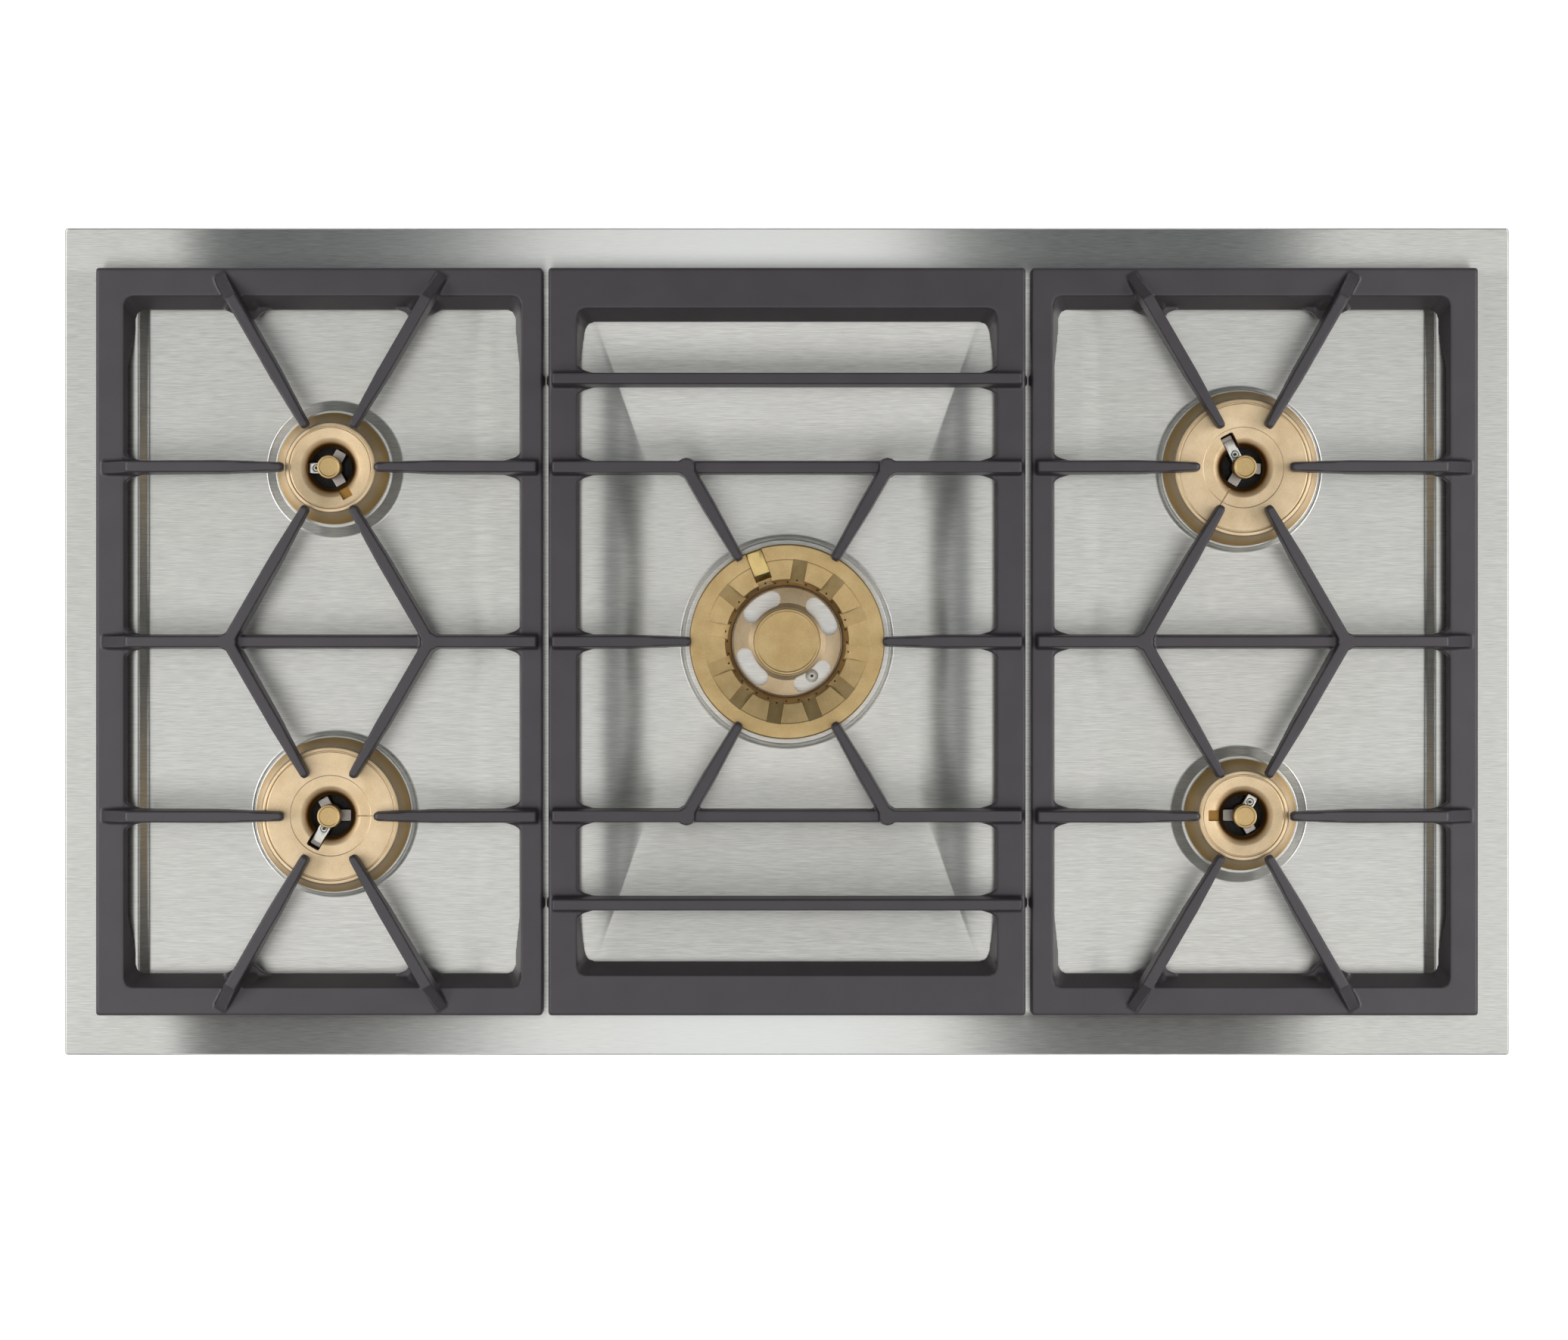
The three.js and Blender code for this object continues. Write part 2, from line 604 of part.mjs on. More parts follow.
function clamp(side) {
  const wall = block(-CLAMP_WIDTH / 2, CLAMP_WIDTH / 2, 0, side * CLAMP_THICKNESS, -CLAMP_HEIGHT, 0);
  const arm = block(-CLAMP_WIDTH / 2, CLAMP_WIDTH / 2, 0, side * CLAMP_REACH, -CLAMP_THICKNESS, 0);
  const screw = cylinder(CLAMP_SCREW_R, -CLAMP_SCREW_LENGTH, -CLAMP_THICKNESS / 2, PIPE_SIDES)
    .translate(0, side * CLAMP_SCREW_PLACE, 0);
  return join(wall, arm, screw);
}

// Burners: cup, flame spreader, lid, cap, electrode and jet
function cup(size, electrodeAngle) {
  const outer = size.bowl + CUP_WALL;
  const jetBore = boreFor(JET_BORE, HIDDEN_ROUND);
  const profile = [
    [jetBore, -CUP_DEPTH], [outer, -CUP_DEPTH], [outer, BOSS_TOP], [size.lidFoot - LID_OVERHANG, BOSS_TOP],
    [size.lidFoot - LID_OVERHANG, SEAT_Z], [outer, SEAT_Z], [outer, SEAT_Z + CUP_RIM],
    [size.bowl, SEAT_Z + CUP_RIM], [size.bowl, LEDGE_Z], [size.bowl - CUP_WALL, LEDGE_Z],
    [size.bowl - CUP_WALL, -CUP_DEPTH + CUP_FLOOR], [jetBore, -CUP_DEPTH + CUP_FLOOR],
  ];
  const [x, y] = polar(ELECTRODE_PLACE, electrodeAngle);
  const [low, high] = [-CUP_DEPTH - OVERSHOOT, -CUP_DEPTH + CUP_FLOOR + OVERSHOOT];
  const hole = cylinder(boreFor(CERAMIC_R, HIDDEN_ROUND), low, high, HIDDEN_ROUND);
  return cut(turned(profile, HIDDEN_ROUND), hole.translate(x, y, 0));
}

function spreader(size, electrodeAngle) {
  const plateTop = LEDGE_Z + SPREADER_PLATE;
  const rim = size.bowl * Math.cos(Math.PI / HIDDEN_ROUND) - GAP;
  const body = turned([
    [0, LEDGE_Z], [rim, LEDGE_Z], [rim, plateTop], [HUB_R + HUB_FILLET, plateTop],
    [HUB_R, plateTop + HUB_FILLET], [HUB_R, HUB_TOP], [0, HUB_TOP]], HIDDEN_ROUND);
  const spoke = (degrees, end) => turnedTo(block(
    0, end, -SPOKE_WIDTH / 2, SPOKE_WIDTH / 2, LEDGE_Z + SPREADER_PLATE / 2, SPOKE_TOP), degrees);
  const ends = [size.slotEnd, ...Array(SPOKE_COUNT - 1).fill(LID_OPENING)];
  const spokes = ends.map((end, n) => spoke(electrodeAngle + (360 / SPOKE_COUNT) * n, end - OVERSHOOT));
  const [x, y] = polar(ELECTRODE_PLACE, electrodeAngle);
  const hole = cylinder(boreFor(CERAMIC_R, HIDDEN_ROUND), LEDGE_Z - OVERSHOOT, CAP_TOP, HIDDEN_ROUND)
    .translate(x, y, 0);
  return cut(join(body, ...spokes), hole);
}

function lid(size, electrodeAngle, notch, slit) {
  const cavity = boreFor(size.bowl + CUP_WALL, FINE_ROUND);
  const roof = SEAT_Z + LID_ROOF;
  const lipR = LID_OPENING + LID_LIP;
  const dish = LID_TOP - LID_DISH;
  const profile = [
    [cavity, SEAT_Z], [size.lidFoot, SEAT_Z], [size.lidFoot, SEAT_Z + LID_RIM_ROUND],
    [size.lidTop + LID_RIM_ROUND / 2, LID_TOP - LID_RIM_ROUND], [size.lidTop - LID_RIM_ROUND / 2, LID_TOP],
    [size.lidTop - LID_RIM_BAND, LID_TOP - LID_RIM_ROUND / 2], [lipR, dish],
    [LID_OPENING + LID_LIP / 3, dish - LID_LIP_DEPTH / 3], [LID_OPENING, dish - LID_LIP_DEPTH],
    [LID_OPENING, roof], [size.bowl, roof], [cavity, roof - CUP_WALL],
  ];
  const groove = (r0, r1, width, foot, degrees) => turnedTo(
    block(r0, r1, -width / 2, width / 2, foot, LID_TOP + OVERSHOOT), degrees);
  const marks = [groove(0, size.slotEnd, SLOT_WIDTH, SEAT_Z - OVERSHOOT, electrodeAngle)];
  if (notch !== undefined) {
    const half = NOTCH_SIDE / 2;
    marks.push(groove(NOTCH_R - half, NOTCH_R + half, NOTCH_SIDE, dish - NOTCH_DEPTH, notch));
  }
  if (slit !== undefined) {
    const [start, end] = [LID_OPENING - OVERSHOOT, size.lidTop - OVERSHOOT];
    marks.push(groove(start, end, SLIT_WIDTH, dish - SLIT_DEPTH, slit));
  }
  return cut(turned(profile, FINE_ROUND), ...marks);
}

function cap() {
  const foot = CAP_TOP - CAP_HEIGHT;
  const bore = boreFor(HUB_R);
  return turned([
    [0, CAP_TOP], [CAP_R - CAP_BEVEL, CAP_TOP], [CAP_R, CAP_TOP - CAP_BEVEL], [CAP_R, foot],
    [bore, foot], [bore, HUB_TOP], [0, HUB_TOP]]);
}

function electrode() {
  const foot = CERAMIC_TOP - ELECTRODE_LENGTH;
  return turned([
    [0, foot], [TERMINAL_R, foot], [TERMINAL_R, foot + TERMINAL_LENGTH],
    [CERAMIC_R, foot + TERMINAL_LENGTH], [CERAMIC_R, CERAMIC_TOP], [PIN_R, CERAMIC_TOP],
    [PIN_R, CERAMIC_TOP + PIN_LENGTH], [0, CERAMIC_TOP + PIN_LENGTH]], HIDDEN_ROUND);
}

function jet() {
  const spigotTop = -CUP_DEPTH + CUP_FLOOR;
  const hex = cylinder(JET_R, JET_FOOT, -CUP_DEPTH, HEX_SIDES);
  const spigot = cylinder(JET_BORE, -CUP_DEPTH - OVERSHOOT, spigotTop, HIDDEN_ROUND);
  const hole = cylinder(JET_HOLE, JET_FOOT - OVERSHOOT, spigotTop + OVERSHOOT, PIPE_SIDES);
  return cut(join(hex, spigot), hole);
}

// Wok burner: cup below the plate, outer ring with flame channels, inner ring, cap and clip
function wokCup() {
  const tubeBore = WOK_TUBE_R - WOK_TUBE_WALL;
  const jetBore = boreFor(JET_BORE);
  const wallTop = WOK_BOSS_TOP - SHEET - GAP;
  const floorTop = -CUP_DEPTH + CUP_FLOOR;
  const profile = [
    [jetBore, -CUP_DEPTH], [WOK_CUP_R, -CUP_DEPTH], [WOK_CUP_R, wallTop], [WOK_CUP_R - CUP_WALL, wallTop],
    [WOK_CUP_R - CUP_WALL, floorTop], [WOK_TUBE_R, floorTop], [WOK_TUBE_R, WOK_TUBE_TOP],
    [tubeBore, WOK_TUBE_TOP], [tubeBore, floorTop], [jetBore, floorTop]];
  const [ex, ey] = polar(WOK_ELECTRODE_PLACE, WOK_ELECTRODE_ANGLE);
  const through = (r) => cylinder(
    boreFor(r, HIDDEN_ROUND), -CUP_DEPTH - OVERSHOOT, floorTop + OVERSHOOT, HIDDEN_ROUND);
  return cut(
    turned(profile), through(JET_BORE).translate(0, -WOK_OUTER_JET_PLACE, 0),
    through(CERAMIC_R).translate(ex, ey, 0));
}

const channelAngle = (n) => CHANNEL_FIRST + (360 / CHANNEL_COUNT) * n;

// The sloping cut that each flame channel makes, from the ring's top down to its bore
function channel(degrees) {
  const [inner, outer] = [WOK_RING_BORE - OVERSHOOT, CHANNEL_END];
  const foot = WOK_RING_WALL_FOOT + OVERSHOOT;
  const side = outlinePrism(
    [[inner, foot], [outer, WOK_RING_TOP - OVERSHOOT / 2], [outer, WOK_RING_TOP + OVERSHOOT],
      [inner, WOK_RING_TOP + OVERSHOOT]], -CHANNEL_WIDTH / 2, CHANNEL_WIDTH / 2);
  return turnedTo(side.rotateX(Math.PI / 2), degrees);
}

function wokOuterRing() {
  const seat = WOK_BOSS_TOP;
  const profile = [
    [WOK_RING_BORE, seat], [WOK_GROOVE_IN, seat], [WOK_GROOVE_IN, WOK_GROOVE_IN_TOP],
    [WOK_GROOVE_OUT, WOK_GROOVE_OUT_TOP], [WOK_GROOVE_OUT, seat], [WOK_RING_R - WOK_RING_DRAFT, seat],
    [WOK_RING_R, WOK_RING_TOP - WOK_RING_EDGE], [WOK_RING_R - WOK_RING_EDGE, WOK_RING_TOP],
    [WOK_RING_STEP_R, WOK_RING_TOP - WOK_RING_STEP], [WOK_RING_LIP_R, WOK_RING_LIP_TOP],
    [WOK_RING_BORE, WOK_RING_WALL_FOOT],
  ];
  const channels = [...Array(CHANNEL_COUNT).keys()].map((n) => channel(channelAngle(n)));
  const pocket = turnedTo(block(
    CLIP_IN - GAP, WOK_RING_R + OVERSHOOT, -CLIP_WIDTH / 2 - GAP, CLIP_WIDTH / 2 + GAP,
    CLIP_SEAT, WOK_RING_TOP + OVERSHOOT), channelAngle(CLIP_CHANNEL));
  return cut(turned(profile, FINE_ROUND), ...channels, pocket);
}

function wokClip() {
  const top = CLIP_SEAT + CLIP_HEIGHT;
  const side = outlinePrism(
    [[CLIP_IN, CLIP_SEAT], [CLIP_OUT, CLIP_SEAT], [CLIP_OUT, top], [CLIP_IN + CLIP_NOSE, top],
      [CLIP_IN, CLIP_SEAT + CLIP_HEIGHT / 2]], -CLIP_WIDTH / 2, CLIP_WIDTH / 2);
  return turnedTo(side.rotateX(Math.PI / 2), channelAngle(CLIP_CHANNEL));
}

// A kidney-shaped window through the inner ring, round-ended, wider at the top than at the foot
function kidney(degrees) {
  const shape = new THREE.Shape();
  const end = (WINDOW_OUT - WINDOW_IN) / 2;
  const half = (WINDOW_SPAN / 2) * RAD - end / WINDOW_OUT;
  const middle = (WINDOW_IN + WINDOW_OUT) / 2;
  shape.absarc(0, 0, WINDOW_OUT, -half, half, false);
  const [endX, endY] = [middle * Math.cos(half), middle * Math.sin(half)];
  shape.absarc(endX, endY, end, half, half + Math.PI, false);
  shape.absarc(0, 0, WINDOW_IN, half, -half, true);
  shape.absarc(endX, -endY, end, Math.PI - half, 2 * Math.PI - half, false);
  const tool = new THREE.ExtrudeGeometry(
    shape, { depth: WOK_CAP_TOP, bevelEnabled: false, curveSegments: 3 });
  return turnedTo(tool.translate(0, 0, -WOK_CAP_TOP / 2), degrees);
}

function wokInnerRing() {
  const spigot = (WOK_TUBE_R - WOK_TUBE_WALL) * Math.cos(Math.PI / ROUND) - GAP;
  const edge = WOK_RING_BORE * Math.cos(Math.PI / FINE_ROUND) - GAP;
  const foot = WOK_TUBE_TOP - WOK_SPIGOT_LENGTH;
  const ring = turned([
    [INNER_BORE, foot], [spigot, foot], [spigot, WOK_TUBE_TOP], [edge, WOK_TUBE_TOP],
    [edge, INNER_RING_TOP],
    [INNER_SEAT_R + INNER_SEAT_FLARE, INNER_RING_TOP + INNER_RING_CROWN], [INNER_SEAT_R, INNER_SEAT_TOP],
    [INNER_SPIGOT_R, INNER_SEAT_TOP], [INNER_SPIGOT_R, INNER_SPIGOT_TOP], [INNER_BORE, INNER_SPIGOT_TOP],
  ], FINE_ROUND);
  const windows = [...Array(WINDOW_COUNT).keys()].map(
    (n) => kidney(WINDOW_FIRST + (360 / WINDOW_COUNT) * n));
  return cut(ring, ...windows);
}

function wokCap() {
  const bore = boreFor(INNER_SPIGOT_R, FINE_ROUND);
  const roof = WOK_CAP_TOP - WOK_CAP_ROOF;
  return turned([
    [0, WOK_CAP_TOP], [WOK_CAP_R - WOK_CAP_BEVEL, WOK_CAP_TOP], [WOK_CAP_R, WOK_CAP_TOP - WOK_CAP_BEVEL],
    [WOK_CAP_R, INNER_SEAT_TOP], [bore, INNER_SEAT_TOP], [bore, roof], [0, roof]], FINE_ROUND);
}

function wokElectrode() {
  const foot = WOK_ELECTRODE_TOP - ELECTRODE_LENGTH;
  const seat = WOK_BOSS_TOP + GAP;
  return turned([
    [0, foot], [TERMINAL_R, foot], [TERMINAL_R, foot + TERMINAL_LENGTH],
    [CERAMIC_R, foot + TERMINAL_LENGTH], [CERAMIC_R, seat], [WOK_ELECTRODE_FLANGE, seat],
    [WOK_ELECTRODE_FLANGE, seat + WOK_ELECTRODE_FLANGE_HEIGHT], [CERAMIC_R, WOK_ELECTRODE_TOP],
    [PIN_R, WOK_ELECTRODE_TOP], [PIN_R, WOK_ELECTRODE_TOP + PIN_LENGTH],
    [0, WOK_ELECTRODE_TOP + PIN_LENGTH]], HIDDEN_ROUND);
}

// Pan supports: a frame with a tapered window, arched side bars, and fingers over the burners
function arch(x0, x1) {
  const [low, high] = [SUPPORT_Y - ARCH_START, SUPPORT_Y - ARCH_START - ARCH_RAMP];
  const points = [
    [-low, -OVERSHOOT], [low, -OVERSHOOT], [low, 0], [high, ARCH_HEIGHT], [-high, ARCH_HEIGHT], [-low, 0]];
  return alongX(points, x0, x1);
}

function supportFrame(x0, x1, leftBar, rightBar, endBar) {
  const ring = (left, right, end, radius) => (insetX, insetY, z) => {
    const y = SUPPORT_Y - end - insetY;
    return { z, points: roundedRectangle(x0 + left + insetX, x1 - right - insetX, -y, y, radius) };
  };
  const edge = ring(0, 0, 0, FRAME_CORNER);
  const hole = ring(leftBar, rightBar, endBar, WINDOW_CORNER);
  const drafted = (z) => {
    const share = 1 - z / FRAME_TOP;
    return hole(FRAME_DRAFT * share, END_DRAFT * share, z);
  };
  const outer = lofted([
    edge(0, 0, 0), edge(0, 0, FRAME_TOP - FRAME_BEVEL), edge(FRAME_BEVEL, FRAME_BEVEL, FRAME_TOP)]);
  const window = lofted([drafted(-OVERSHOOT), drafted(FRAME_TOP + OVERSHOOT)]);
  const reach = FRAME_DRAFT + OVERSHOOT;
  return cut(
    outer, window,
    arch(x0 - OVERSHOOT, x0 + leftBar + reach), arch(x1 - rightBar - reach, x1 + OVERSHOOT));
}

const tipBottom = FINGER_TOP - FINGER_TIP_DEPTH;
const rootBottom = FINGER_TOP - FINGER_ROOT_DEPTH;

// Stations of a finger from its rounded tip, over the burner, to where its underside reaches the root
function fingerStations(rootAt, clearRun) {
  const [tip, root] = [FINGER_TIP_WIDTH / 2, FINGER_WIDTH / 2];
  const full = Math.min(FINGER_TAPER, rootAt - FINGER_NOSE);
  const clear = Math.min(clearRun, full - FINGER_NOSE);
  const halfAt = (along) => tip + ((root - tip) * (along - FINGER_NOSE)) / (full - FINGER_NOSE);
  const bottomAt = (along) => tipBottom + ((rootBottom - tipBottom) * (along - clear)) / (rootAt - clear);
  return [
    { along: 0, top: FINGER_TOP - FINGER_NOSE / 2, bottom: tipBottom + FINGER_NOSE / 2, half: tip / 2 },
    { along: FINGER_NOSE, top: FINGER_TOP, bottom: tipBottom, half: tip },
    { along: clear, top: FINGER_TOP, bottom: tipBottom, half: halfAt(clear) },
    { along: full, top: FINGER_TOP, bottom: bottomAt(full), half: root },
    { along: rootAt, top: FINGER_TOP, bottom: rootBottom, half: root },
  ];
}

const wide = (along, top, bottom) => ({ along, top, bottom, half: FINGER_WIDTH / 2 });

// What a finger ends in: a ramp down onto the frame, a blunt upright end, or nothing more
const rampEnd = (end) => [wide(end, FRAME_TOP + GAP, FRAME_TOP - BAR_SINK)];
const bluntEnd = (end) => [
  wide(end - OVERSHOOT, FINGER_TOP, FRAME_TOP - BAR_SINK),
  wide(end, FINGER_TOP - OVERSHOOT, FRAME_TOP - BAR_SINK)];

// A finger from its tip circle about a burner, at an angle, to an end at a given distance
function finger([cx, cy], degrees, tipR, end, kind, clearR) {
  const [dx, dy] = polar(1, degrees);
  const start = [cx + dx * tipR, cy + dy * tipR];
  const stop = [cx + dx * end, cy + dy * end];
  const length = end - tipR;
  const clear = clearR - tipR;
  const [run, last] = {
    ramp: [RAMP_RUN, rampEnd(length)], blunt: [SIDE_INNER_BAR, bluntEnd(length)], knot: [0, []] }[kind];
  return bar(start, stop, [...fingerStations(length - run, clear), ...last]);
}

// A full-height bar along X between two places, with blunt ends
function crossBar(y, x0, x1) {
  const length = Math.abs(x1 - x0);
  const bottom = FRAME_TOP - BAR_SINK;
  return bar([x0, y], [x1, y], [
    wide(0, FINGER_TOP - OVERSHOOT, bottom), wide(OVERSHOOT, FINGER_TOP, bottom),
    wide(length - OVERSHOOT, FINGER_TOP, bottom), wide(length, FINGER_TOP - OVERSHOOT, bottom)]);
}

function lowLink(y, x0, x1) {
  return bar([x0, y], [x1, y], [
    wide(0, LINK_TOP, LINK_TOP - LINK_DEPTH), wide(Math.abs(x1 - x0), LINK_TOP, LINK_TOP - LINK_DEPTH)]);
}

function knot(x, y) {
  const foot = [NODE_R + FINGER_DRAFT, rootBottom];
  return turned([[0, rootBottom], foot, [NODE_R, FINGER_TOP], [0, FINGER_TOP]], HIDDEN_ROUND)
    .translate(x, y, 0);
}

const nub = (x0, x1, y) =>
  block(x0, x1, y - NUB_WIDTH / 2, y + NUB_WIDTH / 2, NUB_FOOT, NUB_FOOT + NUB_HEIGHT);

// Where a bar meets the frame's inner wall it widens in a curve, here pointing into the window
function haunch(x, y, degrees) {
  const root = FINGER_WIDTH / 2;
  const half = root + HAUNCH_SPREAD;
  const side = [
    [-HAUNCH_BEND, half], [0, half], [HAUNCH_BEND, root + HAUNCH_SPREAD / 2], [HAUNCH_REACH, root]];
  const outline = [...side.map(([along, across]) => [along, -across]), ...side.reverse()];
  return turnedTo(outlinePrism(outline, HAUNCH_FOOT, HAUNCH_TOP), degrees).translate(x, y, 0);
}

// The thicker foot of the end wall below a slanting finger
function pad(x, row, wall) {
  const section = (width, near, z) => {
    const [low, high] = [row * near, row * (wall + BAR_SINK)].sort((a, b) => a - b);
    return { z, points: roundedRectangle(x - width / 2, x + width / 2, low, high, PAD_CORNER) };
  };
  return lofted([section(PAD_WIDTH, wall - END_DRAFT - PAD_PROUD, 0), section(PAD_CROWN, wall, PAD_TOP)]);
}

function sideSupport(side) {
  const [inner, outer] = [side * SUPPORT_IN, side * SUPPORT_OUT];
  const frame = side > 0
    ? supportFrame(inner, outer, SIDE_INNER_BAR, SIDE_OUTER_BAR, SIDE_END_BAR)
    : supportFrame(outer, inner, SIDE_OUTER_BAR, SIDE_INNER_BAR, SIDE_END_BAR);
  const clearR = LARGE.lidFoot + OVERSHOOT;
  const bx = side * BURNER_X;
  const slant = Math.sin(SECTOR * RAD);
  const knotX = BURNER_Y / Math.tan(SECTOR * RAD);
  const outward = side > 0 ? 0 : 180;
  const inward = 180 - outward;
  const toOuter = SUPPORT_OUT - RAMP_TO_EDGE - BURNER_X;
  const toInner = BURNER_X - SUPPORT_IN - BLUNT_TO_EDGE;
  const outerWall = side * (SUPPORT_OUT - SIDE_OUTER_BAR);
  const innerWall = side * (SUPPORT_IN + SIDE_INNER_BAR);
  const wallY = SUPPORT_Y - SIDE_END_BAR;
  const haunches = [BURNER_Y, 0, -BURNER_Y].flatMap(
    (y) => [haunch(outerWall, y, inward), haunch(innerWall, y, outward)]);
  const pieces = [frame, ...haunches];
  for (const row of [1, -1]) {
    const centre = [bx, row * BURNER_Y];
    const toEnd = (SUPPORT_Y - RAMP_TO_EDGE - BURNER_Y) / slant;
    for (const lean of [SECTOR, 180 - SECTOR]) {
      pieces.push(finger(centre, row * lean, FINGER_TIP_R, toEnd, 'ramp', clearR));
      pieces.push(finger(centre, -row * lean, FINGER_TIP_R, BURNER_Y / slant, 'knot', clearR));
    }
    pieces.push(finger(centre, outward, FINGER_TIP_R, toOuter, 'ramp', clearR));
    pieces.push(finger(centre, inward, FINGER_TIP_R, toInner, 'blunt', clearR));
    const padOut = (wallY - END_DRAFT - BURNER_Y) / Math.tan(SECTOR * RAD);
    pieces.push(pad(bx - padOut, row, wallY), pad(bx + padOut, row, wallY));
    pieces.push(nub(inner - side * NUB_LENGTH, inner + side * NUB_LENGTH, row * BAR_Y));
  }
  const knots = [bx - side * knotX, bx + side * knotX];
  const innerEnd = side * (SUPPORT_IN + BLUNT_TO_EDGE);
  const rampLength = toOuter - knotX;
  pieces.push(
    ...knots.map((x) => knot(x, 0)), lowLink(0, ...knots), crossBar(0, innerEnd, knots[0]),
    bar([knots[1], 0], [side * (SUPPORT_OUT - RAMP_TO_EDGE), 0], [
      wide(0, FINGER_TOP, rootBottom), wide(rampLength - RAMP_RUN, FINGER_TOP, rootBottom),
      ...rampEnd(rampLength)]));
  return join(...pieces);
}

function centreSupport() {
  const half = CENTRE_SUPPORT_X;
  const reach = half - BLUNT_TO_EDGE;
  const clearR = WOK_RING_R + OVERSHOOT;
  const slant = Math.sin(SECTOR * RAD);
  const knotX = WOK_BAR_Y / Math.tan(SECTOR * RAD);
  const pieces = [supportFrame(-half, half, CENTRE_SIDE_BAR, CENTRE_SIDE_BAR, CENTRE_END_BAR)];
  const barPlaces = [BAR_Y, WOK_BAR_Y, 0, -WOK_BAR_Y, -BAR_Y];
  for (const side of [1, -1]) {
    const wall = side * (half - CENTRE_SIDE_BAR);
    pieces.push(...barPlaces.map((y) => haunch(wall, y, side > 0 ? 180 : 0)));
    pieces.push(crossBar(side * BAR_Y, -reach, reach));
    pieces.push(finger([0, 0], side > 0 ? 0 : 180, WOK_TIP_R + LID_RIM_ROUND, reach, 'blunt', clearR));
    for (const row of [1, -1]) {
      const lean = row * (side > 0 ? SECTOR : 180 - SECTOR);
      pieces.push(finger([0, 0], lean, WOK_TIP_R, WOK_BAR_Y / slant, 'knot', clearR));
      pieces.push(crossBar(row * WOK_BAR_Y, side * knotX, side * reach));
      pieces.push(knot(side * knotX, row * WOK_BAR_Y));
      pieces.push(nub(side * (half - NUB_LENGTH), side * (half + NUB_LENGTH), row * BAR_Y));
    }
    pieces.push(lowLink(side * WOK_BAR_Y, -knotX, knotX));
  }
  return join(...pieces);
}

// Gas rail, motorised valves, pipes and the two electrical boxes
function gasRail() {
  const [end, half] = [RAIL_LENGTH / 2, RAIL_SIDE / 2];
  const bore = cylinder(RAIL_BORE / 2, -end + RAIL_SIDE, end + OVERSHOOT, HIDDEN_ROUND);
  return cut(block(-end, end, -half, half, -half, half), bore.rotateY(Math.PI / 2));
}

function valve() {
  const body = block(
    -VALVE_WIDTH / 2, VALVE_WIDTH / 2, -VALVE_LENGTH / 2, VALVE_LENGTH / 2, FLOOR_Z, VALVE_TOP);
  const motor = lyingAlongY(cylinder(MOTOR_R, 0, VALVE_LENGTH / 2 + MOTOR_LENGTH, HIDDEN_ROUND))
    .translate(0, 0, FLOOR_Z + VALVE_HEIGHT / 2);
  return join(body, motor);
}

// A gas pipe from a valve's outlet up and over to a jet's foot
function gasPipe(from, to) {
  const start = VALVE_TOP + GAP;
  const end = JET_FOOT - GAP;
  const run = PIPE_BENDS.map((share) => [
    from[0] + (to[0] - from[0]) * share, from[1] + (to[1] - from[1]) * share, -PIPE_LEVEL]);
  return pipe([
    [...from, start], [...from, start + PIPE_STRAIGHT], ...run, [...to, end - PIPE_STRAIGHT], [...to, end],
  ], PIPE_R, PIPE_STEPS);
}

function gasInlet() {
  const [x, y, z] = inletPlace;
  const inside = -CASING_WALL - GAP;
  const fitting = lyingAlongY(turned([
    [INLET_BORE, inside - INLET_NUT_LENGTH / 2], [INLET_BORE, INLET_LENGTH], [INLET_R, INLET_LENGTH],
    [INLET_R, inside], [INLET_NUT_R, inside], [INLET_NUT_R, inside - INLET_NUT_LENGTH],
    [0, inside - INLET_NUT_LENGTH], [0, inside - INLET_NUT_LENGTH / 2]], HIDDEN_ROUND)).translate(x, y, z);
  const start = y + inside - INLET_NUT_LENGTH + OVERSHOOT;
  const railEnd = RAIL_LENGTH / 2 + GAP;
  const feed = pipe([
    [x, start, z], [x, start - FEED_STRAIGHT, z], [x, 0, (z + RAIL_Z) / 2], [x, RAIL_Y + FEED_BEND, RAIL_Z],
    [x - FEED_BEND, RAIL_Y, RAIL_Z], [railEnd + FEED_STRAIGHT, RAIL_Y, RAIL_Z], [railEnd, RAIL_Y, RAIL_Z],
  ], FEED_R, FEED_STEPS);
  return join(fitting, feed);
}

function electricBox({ length, width, height }) {
  const [x, y, top] = [length / 2, width / 2, height - BOX_LIP];
  return join(
    block(-x, x, -y, y, 0, top), block(-x - BOX_LIP, x + BOX_LIP, -y - BOX_LIP, y + BOX_LIP, top, height));
}

function powerInlet() {
  const [length, height] = [SOCKET_LENGTH / 2, SOCKET_HEIGHT / 2];
  const body = block(-SOCKET_DEPTH, SOCKET_PROUD, -length, length, -height, height);
  const around = (grow, x0, x1) =>
    block(x0, x1, -length - grow, length + grow, -height - grow, height + grow);
  const flange = around(SOCKET_LIP, GAP, SOCKET_LIP);
  const well = around(-SOCKET_LIP, SOCKET_PROUD - SOCKET_PIN_WELL, SOCKET_PROUD + OVERSHOOT);
  return cut(join(body, flange), well);
}

// The object, piece by piece
place('top_plate', topPlate(), steel);
place('rim_seal', rimSeal(), rubber);
place('bottom_pan', bottomPan(), zincSteel);

for (const [end, row] of [['front', -1], ['back', 1]]) {
  for (const [hand, side] of [['left', -1], ['right', 1]]) {
    const x = side * (CASING_X - CLAMP_FROM_END);
    place(`${end}_${hand}_clamp`, clamp(row), zincSteel, x, row * CASING_Y, -CLAMP_DROP);
  }
}

place('left_pan_support', sideSupport(-1), castIron);
place('centre_pan_support', centreSupport(), castIron);
place('right_pan_support', sideSupport(1), castIron);

